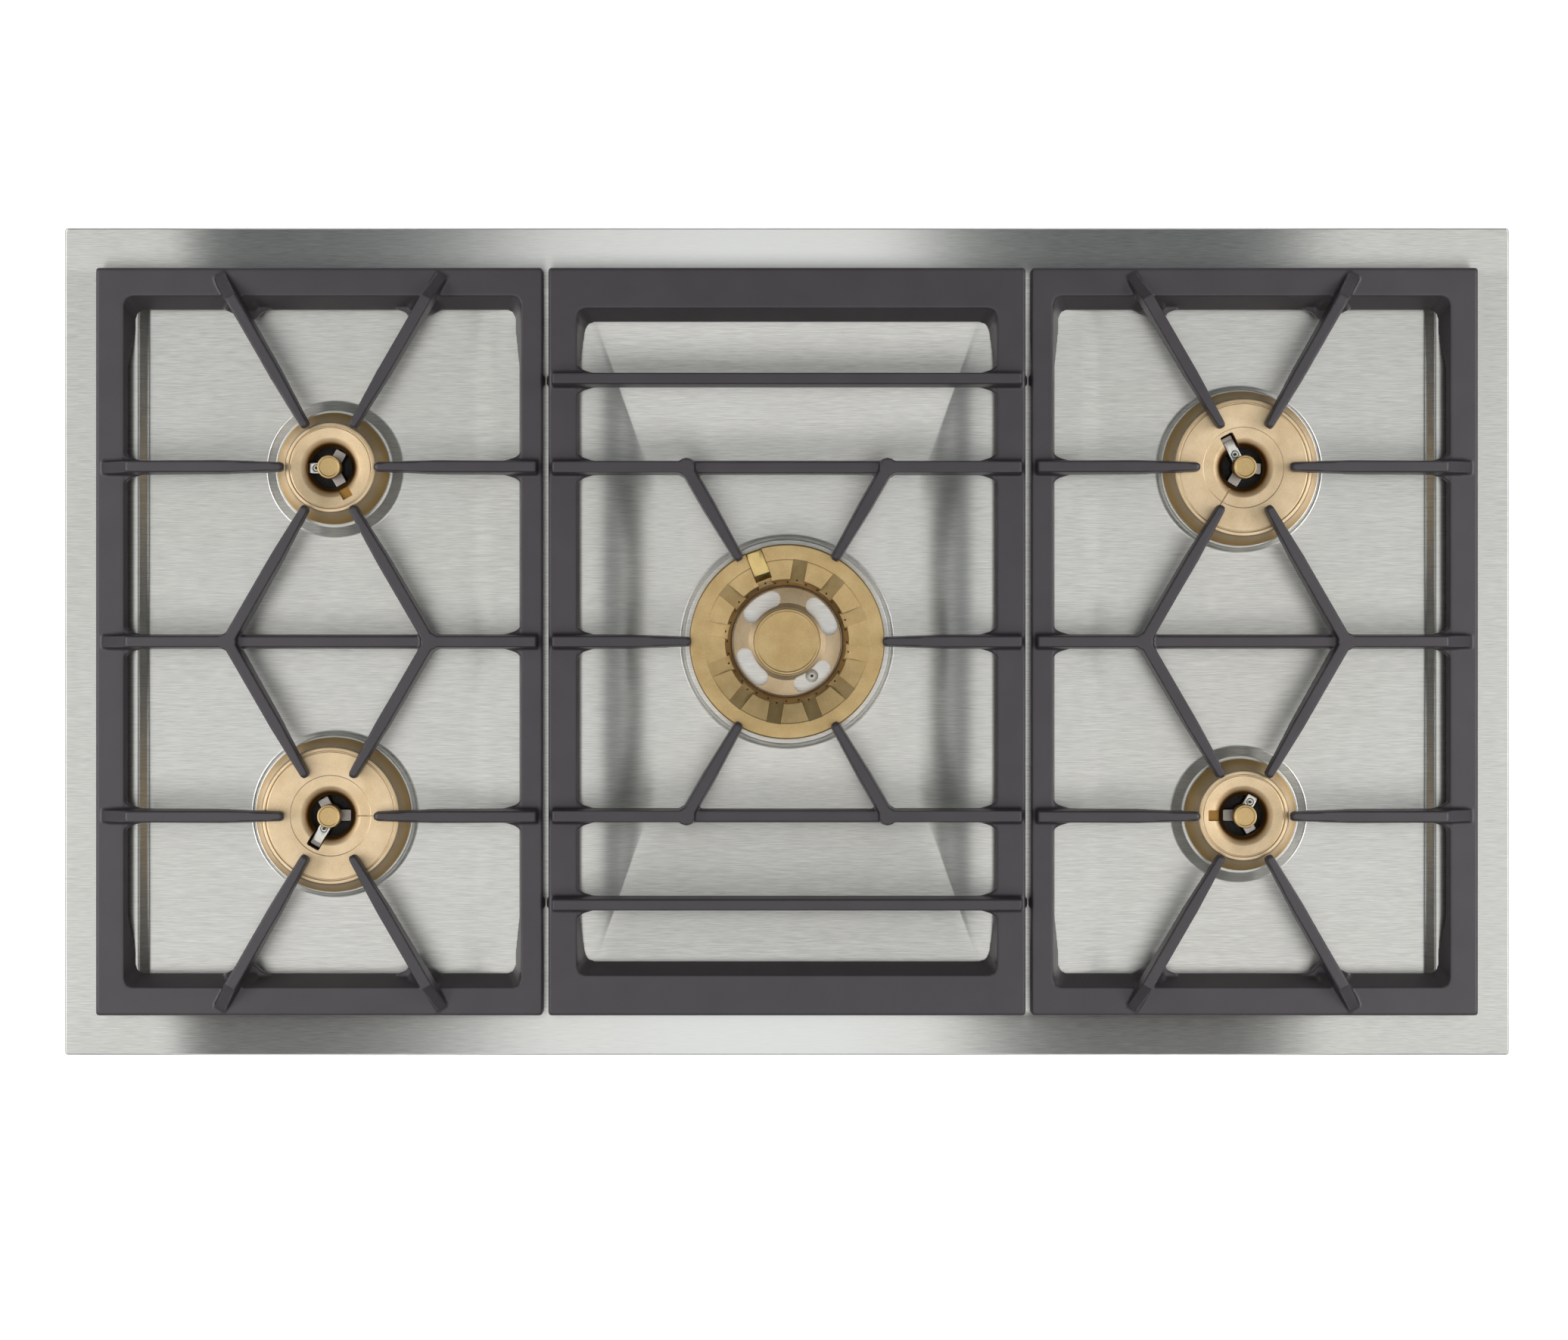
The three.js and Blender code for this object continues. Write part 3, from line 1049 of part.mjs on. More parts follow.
for (const { name, size, x, y, electrode: angle, notch, slit } of burners) {
  const [ex, ey] = polar(ELECTRODE_PLACE, angle);
  place(`${name}_burner_cup`, cup(size, angle), aluminium, x, y);
  place(`${name}_flame_spreader`, spreader(size, angle), darkIron, x, y);
  place(`${name}_burner_lid`, lid(size, angle, notch, slit), brass, x, y);
  place(`${name}_burner_cap`, cap(), brass, x, y);
  place(`${name}_electrode`, electrode(), ceramic, x + ex, y + ey);
  place(`${name}_jet`, jet(), brass, x, y);
}

const [wokElectrodeX, wokElectrodeY] = polar(WOK_ELECTRODE_PLACE, WOK_ELECTRODE_ANGLE);
place('wok_burner_cup', wokCup(), aluminium);
place('wok_outer_ring', wokOuterRing(), brass);
place('wok_ring_clip', wokClip(), polishedBrass);
place('wok_inner_ring', wokInnerRing(), brass);
place('wok_burner_cap', wokCap(), brass);
place('wok_electrode', wokElectrode(), ceramic, wokElectrodeX, wokElectrodeY);
place('wok_inner_jet', jet(), brass);
place('wok_outer_jet', jet(), brass, 0, -WOK_OUTER_JET_PLACE);

place('gas_rail', gasRail(), zincSteel, 0, RAIL_Y, RAIL_Z);
const outlets = [
  ['front_left', -BURNER_X, -BURNER_Y], ['back_left', -BURNER_X, BURNER_Y],
  ['wok_outer', 0, -WOK_OUTER_JET_PLACE], ['wok_inner', 0, 0],
  ['back_right', BURNER_X, BURNER_Y], ['front_right', BURNER_X, -BURNER_Y]];
outlets.forEach(([name, x, y], n) => {
  const valveX = (n - (VALVE_COUNT - 1) / 2) * VALVE_PITCH;
  place(`${name}_valve`, valve(), aluminium, valveX, VALVE_Y);
  place(`${name}_gas_pipe`, gasPipe([valveX, VALVE_Y], [x, y]), aluminium);
});
place('gas_inlet', gasInlet(), zincSteel);

for (const [name, box] of [['control_box', CONTROL_BOX], ['ignition_box', IGNITION_BOX]]) {
  place(name, electricBox(box), plastic, box.offset, CASING_Y - BOX_FROM_BACK - box.width / 2, FLOOR_Z);
}
place('power_inlet', powerInlet(), plastic, ...socketPlace);

export default cooktop;
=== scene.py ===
"""Looks of a built-in gas cooktop: a steel plate with five brass burners and three cast pan supports."""

import math

import bmesh
import bpy
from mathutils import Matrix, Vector
from mathutils.geometry import delaunay_2d_cdt


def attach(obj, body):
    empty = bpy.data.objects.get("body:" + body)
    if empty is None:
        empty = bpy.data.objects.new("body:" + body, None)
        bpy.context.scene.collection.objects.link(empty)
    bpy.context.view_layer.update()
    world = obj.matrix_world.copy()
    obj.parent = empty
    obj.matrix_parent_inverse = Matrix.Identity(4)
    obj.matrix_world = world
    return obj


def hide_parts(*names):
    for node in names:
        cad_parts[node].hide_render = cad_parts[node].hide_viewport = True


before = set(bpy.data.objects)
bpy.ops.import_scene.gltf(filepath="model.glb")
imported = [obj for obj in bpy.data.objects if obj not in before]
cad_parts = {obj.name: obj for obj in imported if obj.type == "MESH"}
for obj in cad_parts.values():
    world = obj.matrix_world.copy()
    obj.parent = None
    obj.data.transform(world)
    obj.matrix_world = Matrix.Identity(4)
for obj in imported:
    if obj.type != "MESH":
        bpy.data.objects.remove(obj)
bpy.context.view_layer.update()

MM = 0.001
PLATE_Z = 105.0
BURNER_X, BURNER_Y = 284.6, 108.6

# Edges that turn by more degrees than this stay sharp
SHARP = 32

# The plate, in millimetres, with heights from its top
PLATE_HALF_X, PLATE_HALF_Y, PLATE_CORNER = 454.0, 260.0, 2.0
SHEET, HEM = 1.5, 12.0
WELL_Y = 224.5
LAND_DROP, LAND_RAMP = 2.0, 22.0
LAND_COLUMNS, LAND_ROWS = (138.0, 145.0, 152.0, 159.0, 166.0), 8
SIDE_WELL = (172.0, 408.0)
SIDE_DEPTH, SIDE_SLOPE, SIDE_INNER_SLOPE, SIDE_CORNER = 7.0, 6.5, 30.0, 8.0
CENTRE_X, CENTRE_FOOT_X, CENTRE_FOOT_Y = 126.0, 87.0, 112.0
CENTRE_DEPTH, CENTRE_CORNER, CENTRE_FOOT_CORNER = 18.0, 5.0, 8.0
SIDE_BOSS_TOP, WOK_BOSS_TOP = 0.5, -0.5

# How far the bends of a well's side reach out from its top and into its floor, and both bends as shares
SIDE_BENDS, CENTRE_BENDS = (3.5, 12.0, 0.25, 0.35), (11.0, 13.5, 0.5, 0.5)

# The straight chords of a loop lie a little inside its circle
INSIDE_CHORD = 0.9995

# Points on the straight sides along X and along Y of a well's loops and of the rim's, and on a rim's corner
WELL_STEPS, RIM_STEPS = (50, 90), (90, 52, 3)

# Burners, by radius in millimetres: the lid's foot, top and bowl, the top, foot and bore of the boss in the
# plate, and the ends of the electrode's slot and bracket; the other numbers are places and degrees
SMALL = dict(foot=35.0, top=27.9, bowl=20.0, boss=36.8, boss_foot=42.8, bore=23.8, slot=14.6, bracket=14.0)
LARGE = dict(foot=48.5, top=42.7, bowl=33.0, boss=50.0, boss_foot=51.6, bore=36.9, slot=23.0, bracket=19.0)
BURNERS = {
    "back_left": dict(size=SMALL, x=-BURNER_X, y=BURNER_Y, electrode=180, notch=-60),
    "front_left": dict(size=LARGE, x=-BURNER_X, y=-BURNER_Y, electrode=240, slit=0),
    "back_right": dict(size=LARGE, x=BURNER_X, y=BURNER_Y, electrode=118, slit=238),
    "front_right": dict(size=SMALL, x=BURNER_X, y=-BURNER_Y, electrode=60, notch=180),
}
WOK = dict(boss=64.6, boss_foot=66.8, bore=16.9)
BOSS_SKIRT = 4.5
ELECTRODE_RADIUS, WOK_ELECTRODE_RADIUS = 9.6, 26.6
NOTCH_RADIUS, NOTCH_HALF = 18.4, 3.35

# The cups below the burners: height of the foot and of the floor inside, and the bore for the jet
CUP_FOOT, CUP_FLOOR, JET_BORE = -34.0, -30.0, 4.9


# ---------------------------------------------------------------- shapes

def rounded(corners, steps=5, closed=False):
    """A path through (a, b, radius) corners with each one rounded off."""
    points = []
    count = len(corners)
    for i, (x, y, radius) in enumerate(corners):
        here = Vector((x, y))
        if radius <= 0 or (not closed and i in (0, count - 1)):
            points.append(here)
            continue
        before, after = Vector(corners[i - 1][:2]) - here, Vector(corners[(i + 1) % count][:2]) - here
        angle = before.angle(after)
        reach = min(radius / math.tan(angle / 2), 0.49 * before.length, 0.49 * after.length)
        true_radius = reach * math.tan(angle / 2)
        u, v = before.normalized(), after.normalized()
        centre = here + (u + v).normalized() * (true_radius / math.sin(angle / 2))
        start, end = here + u * reach - centre, here + v * reach - centre
        turn = start.angle(end)
        for n in range(steps + 1):
            share = n / steps
            spoke = start * math.sin((1 - share) * turn) + end * math.sin(share * turn)
            points.append(centre + spoke / math.sin(turn))
    return points


def make(name, vertices, faces, weld=0.0):
    """A closed mesh from points in millimetres, with its faces turned outwards."""
    mesh = bpy.data.meshes.new(name)
    mesh.from_pydata([tuple(c * MM for c in v) for v in vertices], [], faces)
    body = bmesh.new()
    body.from_mesh(mesh)
    if weld:
        bmesh.ops.remove_doubles(body, verts=body.verts, dist=weld * MM)
    bmesh.ops.recalc_face_normals(body, faces=body.faces)
    body.to_mesh(mesh)
    body.free()
    obj = bpy.data.objects.new(name, mesh)
    bpy.context.scene.collection.objects.link(obj)
    return obj


def turned(name, outline, segments):
    """A body turned about Z from a closed (radius, height) outline; a radius of 0 is a pole."""
    vertices, loops, faces = [], [], []
    for radius, z in outline:
        if radius < 1e-6:
            loops.append([len(vertices)] * segments)
            vertices.append((0, 0, z))
            continue
        loops.append(range(len(vertices), len(vertices) + segments))
        for n in range(segments):
            angle = 2 * math.pi * n / segments
            vertices.append((radius * math.cos(angle), radius * math.sin(angle), z))
    for low, high in zip(loops, loops[1:] + loops[:1]):
        for n in range(segments):
            m = (n + 1) % segments
            face = list(dict.fromkeys((low[n], low[m], high[m], high[n])))
            if len(face) > 2:
                faces.append(face)
    return make(name, vertices, faces)


def prism(outline, z0, z1, degrees=0, name="cutter"):
    """An upright prism on an outline, turned about Z."""
    c, s = math.cos(math.radians(degrees)), math.sin(math.radians(degrees))
    count = len(outline)
    flat = [(c * x - s * y, s * x + c * y) for x, y in outline]
    vertices = [(x, y, z0) for x, y in flat] + [(x, y, z1) for x, y in flat]
    faces = [list(range(count))[::-1], list(range(count, 2 * count))]
    faces += [[i, (i + 1) % count, count + (i + 1) % count, count + i] for i in range(count)]
    return make(name, vertices, faces)


def lying(outline, half, degrees):
    """A prism across a radius: its outline is (radius, height), and it reaches half to each side."""
    c, s = math.cos(math.radians(degrees)), math.sin(math.radians(degrees))
    count = len(outline)
    vertices = [(c * r - s * side, s * r + c * side, z) for side in (-half, half) for r, z in outline]
    faces = [list(range(count))[::-1], list(range(count, 2 * count))]
    faces += [[i, (i + 1) % count, count + (i + 1) % count, count + i] for i in range(count)]
    return make("cutter", vertices, faces)


def slab(x0, x1, half, radius):
    """A rectangle with rounded corners that reaches half to each side of the X axis."""
    corners = ((x0, -half), (x1, -half), (x1, half), (x0, half))
    return rounded([(x, y, radius) for x, y in corners], 3, True)


def circle(cx, cy, radius, z, segments=144):
    angles = [2 * math.pi * n / segments for n in range(segments)]
    return [(cx + radius * math.cos(a), cy + radius * math.sin(a), z) for a in angles]


def drill(x, y, radius, z0, z1, segments, degrees=0):
    """A cutter for a round hole."""
    return prism([point[:2] for point in circle(x, y, radius, 0, segments)], z0, z1, degrees)


def polar(radius, degrees):
    angle = math.radians(degrees)
    return radius * math.cos(angle), radius * math.sin(angle)


def settle(obj):
    """Takes the modifiers into the mesh."""
    graph = bpy.context.evaluated_depsgraph_get()
    obj.data = bpy.data.meshes.new_from_object(obj.evaluated_get(graph))
    obj.modifiers.clear()
    return obj


def modify(obj, kind, **settings):
    modifier = obj.modifiers.new(kind.title(), kind)
    for key, value in settings.items():
        setattr(modifier, key, value)
    return obj


def combine(obj, tools, operation):
    for tool in tools:
        modify(obj, "BOOLEAN", operation=operation, solver="EXACT", object=tool)
    settle(obj)
    for tool in tools:
        bpy.data.objects.remove(tool)
    return obj


def carve(obj, *tools):
    return combine(obj, tools, "DIFFERENCE")


def join(obj, *tools):
    return combine(obj, tools, "UNION")


def smooth(obj, degrees=SHARP):
    obj.data.shade_smooth()
    obj.data.set_sharp_from_angle(angle=math.radians(degrees))
    return obj


def soften(obj, width):
    """Small rounded edges."""
    modify(obj, "BEVEL", width=width * MM, segments=2, limit_method="ANGLE",
           angle_limit=math.radians(SHARP), use_clamp_overlap=True)
    return smooth(settle(obj))


def cast(obj, voxel, passes, share):
    """The rounded edges of a casting."""
    modify(obj, "REMESH", mode="VOXEL", voxel_size=voxel * MM, use_smooth_shade=True)
    modify(obj, "SMOOTH", factor=0.5, iterations=passes)
    modify(obj, "DECIMATE", ratio=share)
    settle(obj)
    obj.data.shade_smooth()
    return obj


def copy_of(name, node):
    obj = bpy.data.objects.new(name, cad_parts[node].data.copy())
    bpy.context.scene.collection.objects.link(obj)
    return obj


def fit(obj, body, material, slot, *nodes, at=(0.0, 0.0, 0.0)):
    """Puts a piece in its place on its body, with its finish, for the CAD nodes that it stands for."""
    obj.location = [c * MM for c in at]
    obj.data.materials.clear()
    obj.data.materials.append(material)
    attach(obj, body)
    if nodes:
        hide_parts(*nodes)


# ---------------------------------------------------------------- finishes

class Wire:
    """A node's output, with arithmetic."""

    def __init__(self, recipe, socket):
        self.recipe, self.socket = recipe, socket

    def _math(self, operation, first, second):
        return self.recipe.node("ShaderNodeMath", {"operation": operation}, {0: first, 1: second})

    def __add__(self, other):
        return self._math("ADD", self, other)

    def __radd__(self, other):
        return self._math("ADD", other, self)

    def __sub__(self, other):
        return self._math("SUBTRACT", self, other)

    def __rsub__(self, other):
        return self._math("SUBTRACT", other, self)

    def __mul__(self, other):
        return self._math("MULTIPLY", self, other)

    def __rmul__(self, other):
        return self._math("MULTIPLY", other, self)

    def __pow__(self, other):
        return self._math("POWER", self, other)


class Recipe:
    """A material, and the nodes that its surface is made from."""

    def __init__(self, name, **constants):
        self.material = bpy.data.materials.new(name)
        self.material.use_nodes = True
        self.tree = self.material.node_tree
        self.shader = self.tree.nodes["Principled BSDF"]
        for socket, value in constants.items():
            self.feed(self.shader.inputs[socket.replace("_", " ")], value)

    def feed(self, socket, value):
        if isinstance(value, Wire):
            self.tree.links.new(value.socket, socket)
        else:
            socket.default_value = value

    def node(self, kind, settings=(), inputs=(), output=0):
        made = self.tree.nodes.new(kind)
        settings = dict(settings)
        stops = settings.pop("stops", None)
        for key, value in settings.items():
            setattr(made, key, value)
        if stops:
            ramp = made.color_ramp
            while len(ramp.elements) < len(stops):
                ramp.elements.new(0.5)
            for element, (position, color) in zip(ramp.elements, stops):
                element.position, element.color = position, color
        for key, value in dict(inputs).items():
            self.feed(made.inputs[key], value)
        return Wire(self, made.outputs[output])

    def wear(self, **wires):
        for socket, wire in wires.items():
            self.feed(self.shader.inputs[socket.replace("_", " ")], wire)
        return self

    def place(self):
        """Where a point is on its own piece, in metres."""
        return self.node("ShaderNodeTexCoord", {}, {}, "Object")

    def part(self, place, axis):
        """One coordinate of a place."""
        return self.node("ShaderNodeSeparateXYZ", {}, {0: place}, axis)

    def noise(self, scales, detail=3.0, roughness=0.5):
        stretched = self.node("ShaderNodeMapping", {}, {"Vector": self.place(), "Scale": scales})
        return self.node("ShaderNodeTexNoise", {}, {
            "Vector": stretched, "Scale": 1.0, "Detail": detail, "Roughness": roughness}, "Fac")

    def radius(self):
        x, y = (self.part(self.place(), axis) for axis in ("X", "Y"))
        return (x * x + y * y) ** 0.5

    def height(self):
        return self.part(self.place(), "Z")

    def fade(self, wire, start, end):
        """0 up to start and 1 from end, smooth between."""
        return self.node("ShaderNodeMapRange", {"interpolation_type": "SMOOTHSTEP"}, {
            "Value": wire, "From Min": start, "From Max": end, "To Min": 0.0, "To Max": 1.0})

    def blend(self, share, first, second):
        """The first colour at a share of 0 and the second at 1."""
        return self.node("ShaderNodeMix", {"data_type": "RGBA"}, {
            "Factor": share, 6: first, 7: second}, 2)

    def bump(self, height, distance, strength):
        """A relief whose full height is a distance in millimetres."""
        return self.node("ShaderNodeBump", {}, {
            "Strength": strength, "Distance": distance * MM, "Height": height})

    def shades(self, wire, *stops):
        """A colour ramp of (position, colour) stops."""
        return self.node("ShaderNodeValToRGB", {"stops": stops}, {"Fac": wire})


def rgb(red, green, blue):
    """A colour from its screen values, 0 to 255."""
    def linear(value):
        share = value / 255
        return share / 12.92 if share <= 0.04045 else ((share + 0.055) / 1.055) ** 2.4
    return (linear(red), linear(green), linear(blue), 1.0)


# Back rim (1) and front rim (-1) of the sheet: how far out along Y a rim's look begins and is full, how much
# its steel leans in a wave and between waves, and where along X each wave and the painted reflection (a
# lighter colour) begin, are full from and to, and end. Places are in metres, and a lean is the Y that the
# normal gains.
RIM_BEGINS, RIM_FULL = 0.230, 0.236
RIM_LEAN = 0.72
RIM_REST = {1: -0.10, -1: -0.06}
RIM_WAVES = {
    1: ((-0.400, -0.335, -0.325, -0.110), (0.040, 0.195, 0.255, 0.365)),
    -1: ((-0.410, -0.350, -0.325, -0.090), (0.050, 0.205, 0.265, 0.372)),
}
RIM_PAINTED_SHINE = (-0.30, -0.02, 0.02, 0.16)

# Where a lid's colours change, in metres from its axis or above the plate: the darker brown down its funnel,
# the painted shade on its outer slope, and the painted shade on the floor of the notch in a small lid
FUNNEL_DARK_RADII = (0.0196, 0.0134)
SLOPE_SHADE_HEIGHTS = (0.0178, 0.004)
NOTCH_SHADE_HEIGHTS, NOTCH_SHADE_OUTER_RADII, NOTCH_SHADE_INNER_RADII = (0.0168, 0.016), (0.023, 0.0226), (0.015, 0.0154)

# The heights, in metres above the plate, between which the ground tops of a spider's spokes fade in and out
SPOKE_LOW, SPOKE_HIGH = (0.0098, 0.0102), (0.0112, 0.0118)


def brushed_steel():
    """Steel brushed along X: its shine spreads far across the grain and little along it.

    A painted reflection makes the colour lighter in the middle of each rim.
    """
    steel = Recipe("Brushed steel", Metallic=1.0, Anisotropic=0.88)
    fine, broad = steel.noise((110, 3000, 110), 2.0), steel.noise((55, 1400, 55), 2.0)
    grain = fine * 0.6 + broad * 0.4
    x, y = (steel.part(steel.place(), axis) for axis in ("X", "Y"))

    def hump(begins, full, until, ends):
        return steel.fade(x, begins, full) * steel.fade(x, ends, until)

    lean, painted_shine = 0.0, 0.0
    for side, waves in RIM_WAVES.items():
        wave = RIM_REST[side]
        for places in waves:
            wave = hump(*places) * RIM_LEAN + wave
        rim = steel.fade(y, side * RIM_BEGINS, side * RIM_FULL)
        lean = rim * wave + lean
        # painted reflection: the colour is made lighter in the middle of each rim
        painted_shine = hump(*RIM_PAINTED_SHINE) * rim + painted_shine
    tip = steel.node("ShaderNodeCombineXYZ", {}, {"Y": lean})
    level = steel.node("ShaderNodeNewGeometry", {}, {}, "Normal")
    tipped = steel.node("ShaderNodeVectorMath", {"operation": "ADD"}, {0: level, 1: tip})
    leaning = steel.node("ShaderNodeVectorMath", {"operation": "NORMALIZE"}, {0: tipped})
    brushed = steel.node("ShaderNodeBump", {}, {
        "Strength": 0.2, "Distance": 0.02 * MM, "Height": grain, "Normal": leaning})
    warmth = steel.fade(steel.noise((5, 5, 5), 2.0), 0.35, 0.75)
    dull = steel.shades(grain, (0.36, rgb(203, 201, 197)), (0.64, rgb(233, 231, 226)))
    # the painted reflection turns the colour towards near-white
    with_painted_shine = steel.blend(painted_shine * 0.8, dull, rgb(246, 246, 243))
    tint = steel.node("ShaderNodeMix", {"data_type": "RGBA", "blend_type": "MULTIPLY"}, {
        "Factor": warmth * 0.3, 6: with_painted_shine, 7: rgb(247, 245, 238)}, 2)
    return steel.wear(Base_Color=tint, Roughness=0.35 + grain * 0.05, Normal=brushed).material


def enamelled_iron():
    iron = Recipe("Enamelled cast iron", Metallic=0.0, Specular_IOR_Level=0.5)
    grain, patches = iron.noise((1500, 1500, 1500), 3.0), iron.noise((40, 40, 40), 4.0)
    return iron.wear(
        Base_Color=iron.shades(patches, (0.3, rgb(62, 56, 60)), (0.7, rgb(68, 62, 66))),
        Roughness=0.36 + grain * 0.1, Normal=iron.bump(grain, 0.08, 0.4)).material


def sand_brass(name, dull, fair, funnel=True):
    """Sand-blasted brass between two colours, with or without a lid's darker funnel, the painted shade on
    its outer slope and the painted shade on the floor of its notch.
    """
    brass = Recipe(name, Metallic=1.0)
    grain, patches = brass.noise((2500, 2500, 2500), 2.0), brass.noise((60, 60, 60), 4.0, 0.6)
    color = brass.shades(patches * 0.5 + grain * 0.5, (0.36, dull), (0.64, fair))
    if funnel:
        radius, height = brass.radius(), brass.height()
        # darker brown down the funnel, towards the bore
        color = brass.blend(brass.fade(radius, *FUNNEL_DARK_RADII), color, rgb(112, 72, 26))
        # painted shade: the outer slope turns a darker gold towards its foot
        color = brass.blend(brass.fade(height, *SLOPE_SHADE_HEIGHTS), color, rgb(192, 157, 95))
        # painted shade: the floor of the notch in a small lid is made darker
        notch = brass.fade(height, *NOTCH_SHADE_HEIGHTS) * brass.fade(radius, *NOTCH_SHADE_OUTER_RADII)
        color = brass.blend(notch * brass.fade(radius, *NOTCH_SHADE_INNER_RADII), color, rgb(150, 112, 58))
    return brass.wear(
        Base_Color=color, Roughness=0.42 + grain * 0.12, Normal=brass.bump(grain, 0.03, 0.4)).material


def plain(name, color, roughness, metallic=0.0, grain=0.05, fineness=900):
    """A finish of one colour with a little grain."""
    base = Recipe(name, Metallic=metallic)
    noise = base.noise((fineness, fineness, fineness), 3.0)
    dark = tuple(c * 0.92 for c in color[:3]) + (1.0,)
    return base.wear(
        Base_Color=base.shades(noise, (0.3, dark), (0.7, color)),
        Roughness=roughness + noise * grain, Normal=base.bump(noise, 0.02, 0.3)).material


def spider_iron():
    """Dark iron, ground bright on the tops of the spokes."""
    iron = Recipe("Heat-stained iron", Metallic=0.6)
    noise, scratches = iron.noise((500, 500, 500), 3.0), iron.noise((200, 3000, 200), 2.0)
    dark = iron.shades(noise, (0.3, rgb(58, 55, 52)), (0.7, rgb(74, 70, 66)))
    height = iron.height()
    ground = iron.fade(height, *SPOKE_LOW) * (1 - iron.fade(height, *SPOKE_HIGH))
    light = iron.shades(scratches, (0.3, rgb(150, 141, 135)), (0.7, rgb(172, 164, 156)))
    return iron.wear(
        Base_Color=iron.blend(ground, dark, light), Roughness=0.6 - ground * 0.2,
        Normal=iron.bump(noise, 0.05, 0.4)).material


STEEL = brushed_steel()
IRON = enamelled_iron()
LID_BRASS = sand_brass("Sand-blasted brass of the lids", rgb(196, 171, 134), rgb(223, 200, 167))
BRASS = sand_brass("Sand-blasted brass", rgb(178, 150, 102), rgb(206, 179, 132), funnel=False)
PALE_BRASS = sand_brass("Sand-blasted pale brass", rgb(178, 156, 124), rgb(204, 183, 152), funnel=False)
BRIGHT_BRASS = plain("Polished brass", rgb(192, 168, 112), 0.22, metallic=1.0)
SPIDER = spider_iron()
GALVANISED = plain("Zinc-coated sheet", rgb(146, 149, 152), 0.45, metallic=1.0, grain=0.15, fineness=120)
ALUMINIUM = plain("Die-cast aluminium", rgb(176, 178, 180), 0.5, metallic=1.0, grain=0.12, fineness=600)
CERAMIC = plain("Glazed ceramic", rgb(236, 234, 226), 0.25, grain=0.03)
PIN_STEEL = plain("Scaled pin steel", rgb(64, 60, 58), 0.5, metallic=1.0)
BRACKET_STEEL = plain("Bracket steel", rgb(200, 198, 190), 0.3, metallic=1.0)
PLASTIC = plain("Moulded plastic", rgb(52, 53, 56), 0.55)
RUBBER = plain("Foam rubber", rgb(36, 36, 38), 0.85)


# ---------------------------------------------------------------- plate

def ring(x0, x1, y0, y1, corner, across, along, arc=8):
    """A rounded rectangle with the same count of points at any size."""
    points = []
    sides = (
        ((x1 - corner, y0 + corner), -90, (x1, y0 + corner), (x1, y1 - corner), along),
        ((x1 - corner, y1 - corner), 0, (x1 - corner, y1), (x0 + corner, y1), across),
        ((x0 + corner, y1 - corner), 90, (x0, y1 - corner), (x0, y0 + corner), along),
        ((x0 + corner, y0 + corner), 180, (x0 + corner, y0), (x1 - corner, y0), across),
    )
    for (cx, cy), start, (ax, ay), (bx, by), count in sides:
        for n in range(arc):
            angle = math.radians(start + 90 * n / arc)
            points.append(Vector((cx + corner * math.cos(angle), cy + corner * math.sin(angle))))
        points += [Vector((ax + (bx - ax) * n / count, ay + (by - ay) * n / count)) for n in range(count)]
    return points


def land(x, y):
    """Height of the plate's upper level: the strips between the wells lie a little lower."""
    if abs(x) > BURNER_X:
        return 0.0
    share = min(max((WELL_Y - abs(y)) / LAND_RAMP, 0.0), 1.0)
    return -LAND_DROP * share * share * (3 - 2 * share)


class Sheet:
    """Patches of one surface, gathered before they are welded."""

    def __init__(self):
        self.points, self.faces = [], []

    def add(self, points, faces):
        first = len(self.points)
        self.points += points
        self.faces += [[first + i for i in face] for face in faces]

    def strips(self, loops):
        """Faces between closed loops with the same count of points."""
        count = len(loops[0])
        faces = []
        for low in range(0, (len(loops) - 1) * count, count):
            high = low + count
            for i in range(count):
                j = (i + 1) % count
                faces.append((low + i, low + j, high + j, high + i))
        self.add([point for loop in loops for point in loop], faces)

    def flat(self, boundary, holes, height, inside, lines=()):
        """A region between loops, at a height for each point, with lines that its faces must follow."""
        points, edges = [], []
        for loop in (boundary, *holes):
            first = len(points)
            points += [Vector(point[:2]) for point in loop]
            edges += [(first + i, first + (i + 1) % len(loop)) for i in range(len(loop))]
        for line in lines:
            first = len(points)
            points += [Vector(point) for point in line]
            edges += [(first + i, first + i + 1) for i in range(len(line) - 1)]
        made, _, faces, *_ = delaunay_2d_cdt(points, edges, [], 0, 1e-7)
        kept = []
        for face in faces:
            middle = sum((made[i] for i in face), Vector((0, 0))) / len(face)
            if inside(*middle):
                kept.append(face)
        self.add([(x, y, height(x, y)) for x, y in made], kept)


def inside_loop(loop, x, y):
    """Whether a point lies inside a convex loop that runs anticlockwise."""
    return all((b[0] - a[0]) * (y - a[1]) - (b[1] - a[1]) * (x - a[0]) > 0
               for a, b in zip(loop, loop[1:] + loop[:1]))


def eased(before, corner, after, reach, steps=7):
    """A soft bend in place of a corner, as long to each side as its reach or as the side allows."""
    def towards(other):
        side = other - corner
        most = 0.49 if side.length < 2.5 * reach else 0.9
        return corner + side * min(reach / side.length, most)

    start, end = towards(before), towards(after)
    shares = [n / steps for n in range(steps + 1)]
    return [start * (1 - t) ** 2 + corner * 2 * t * (1 - t) + end * t ** 2 for t in shares]


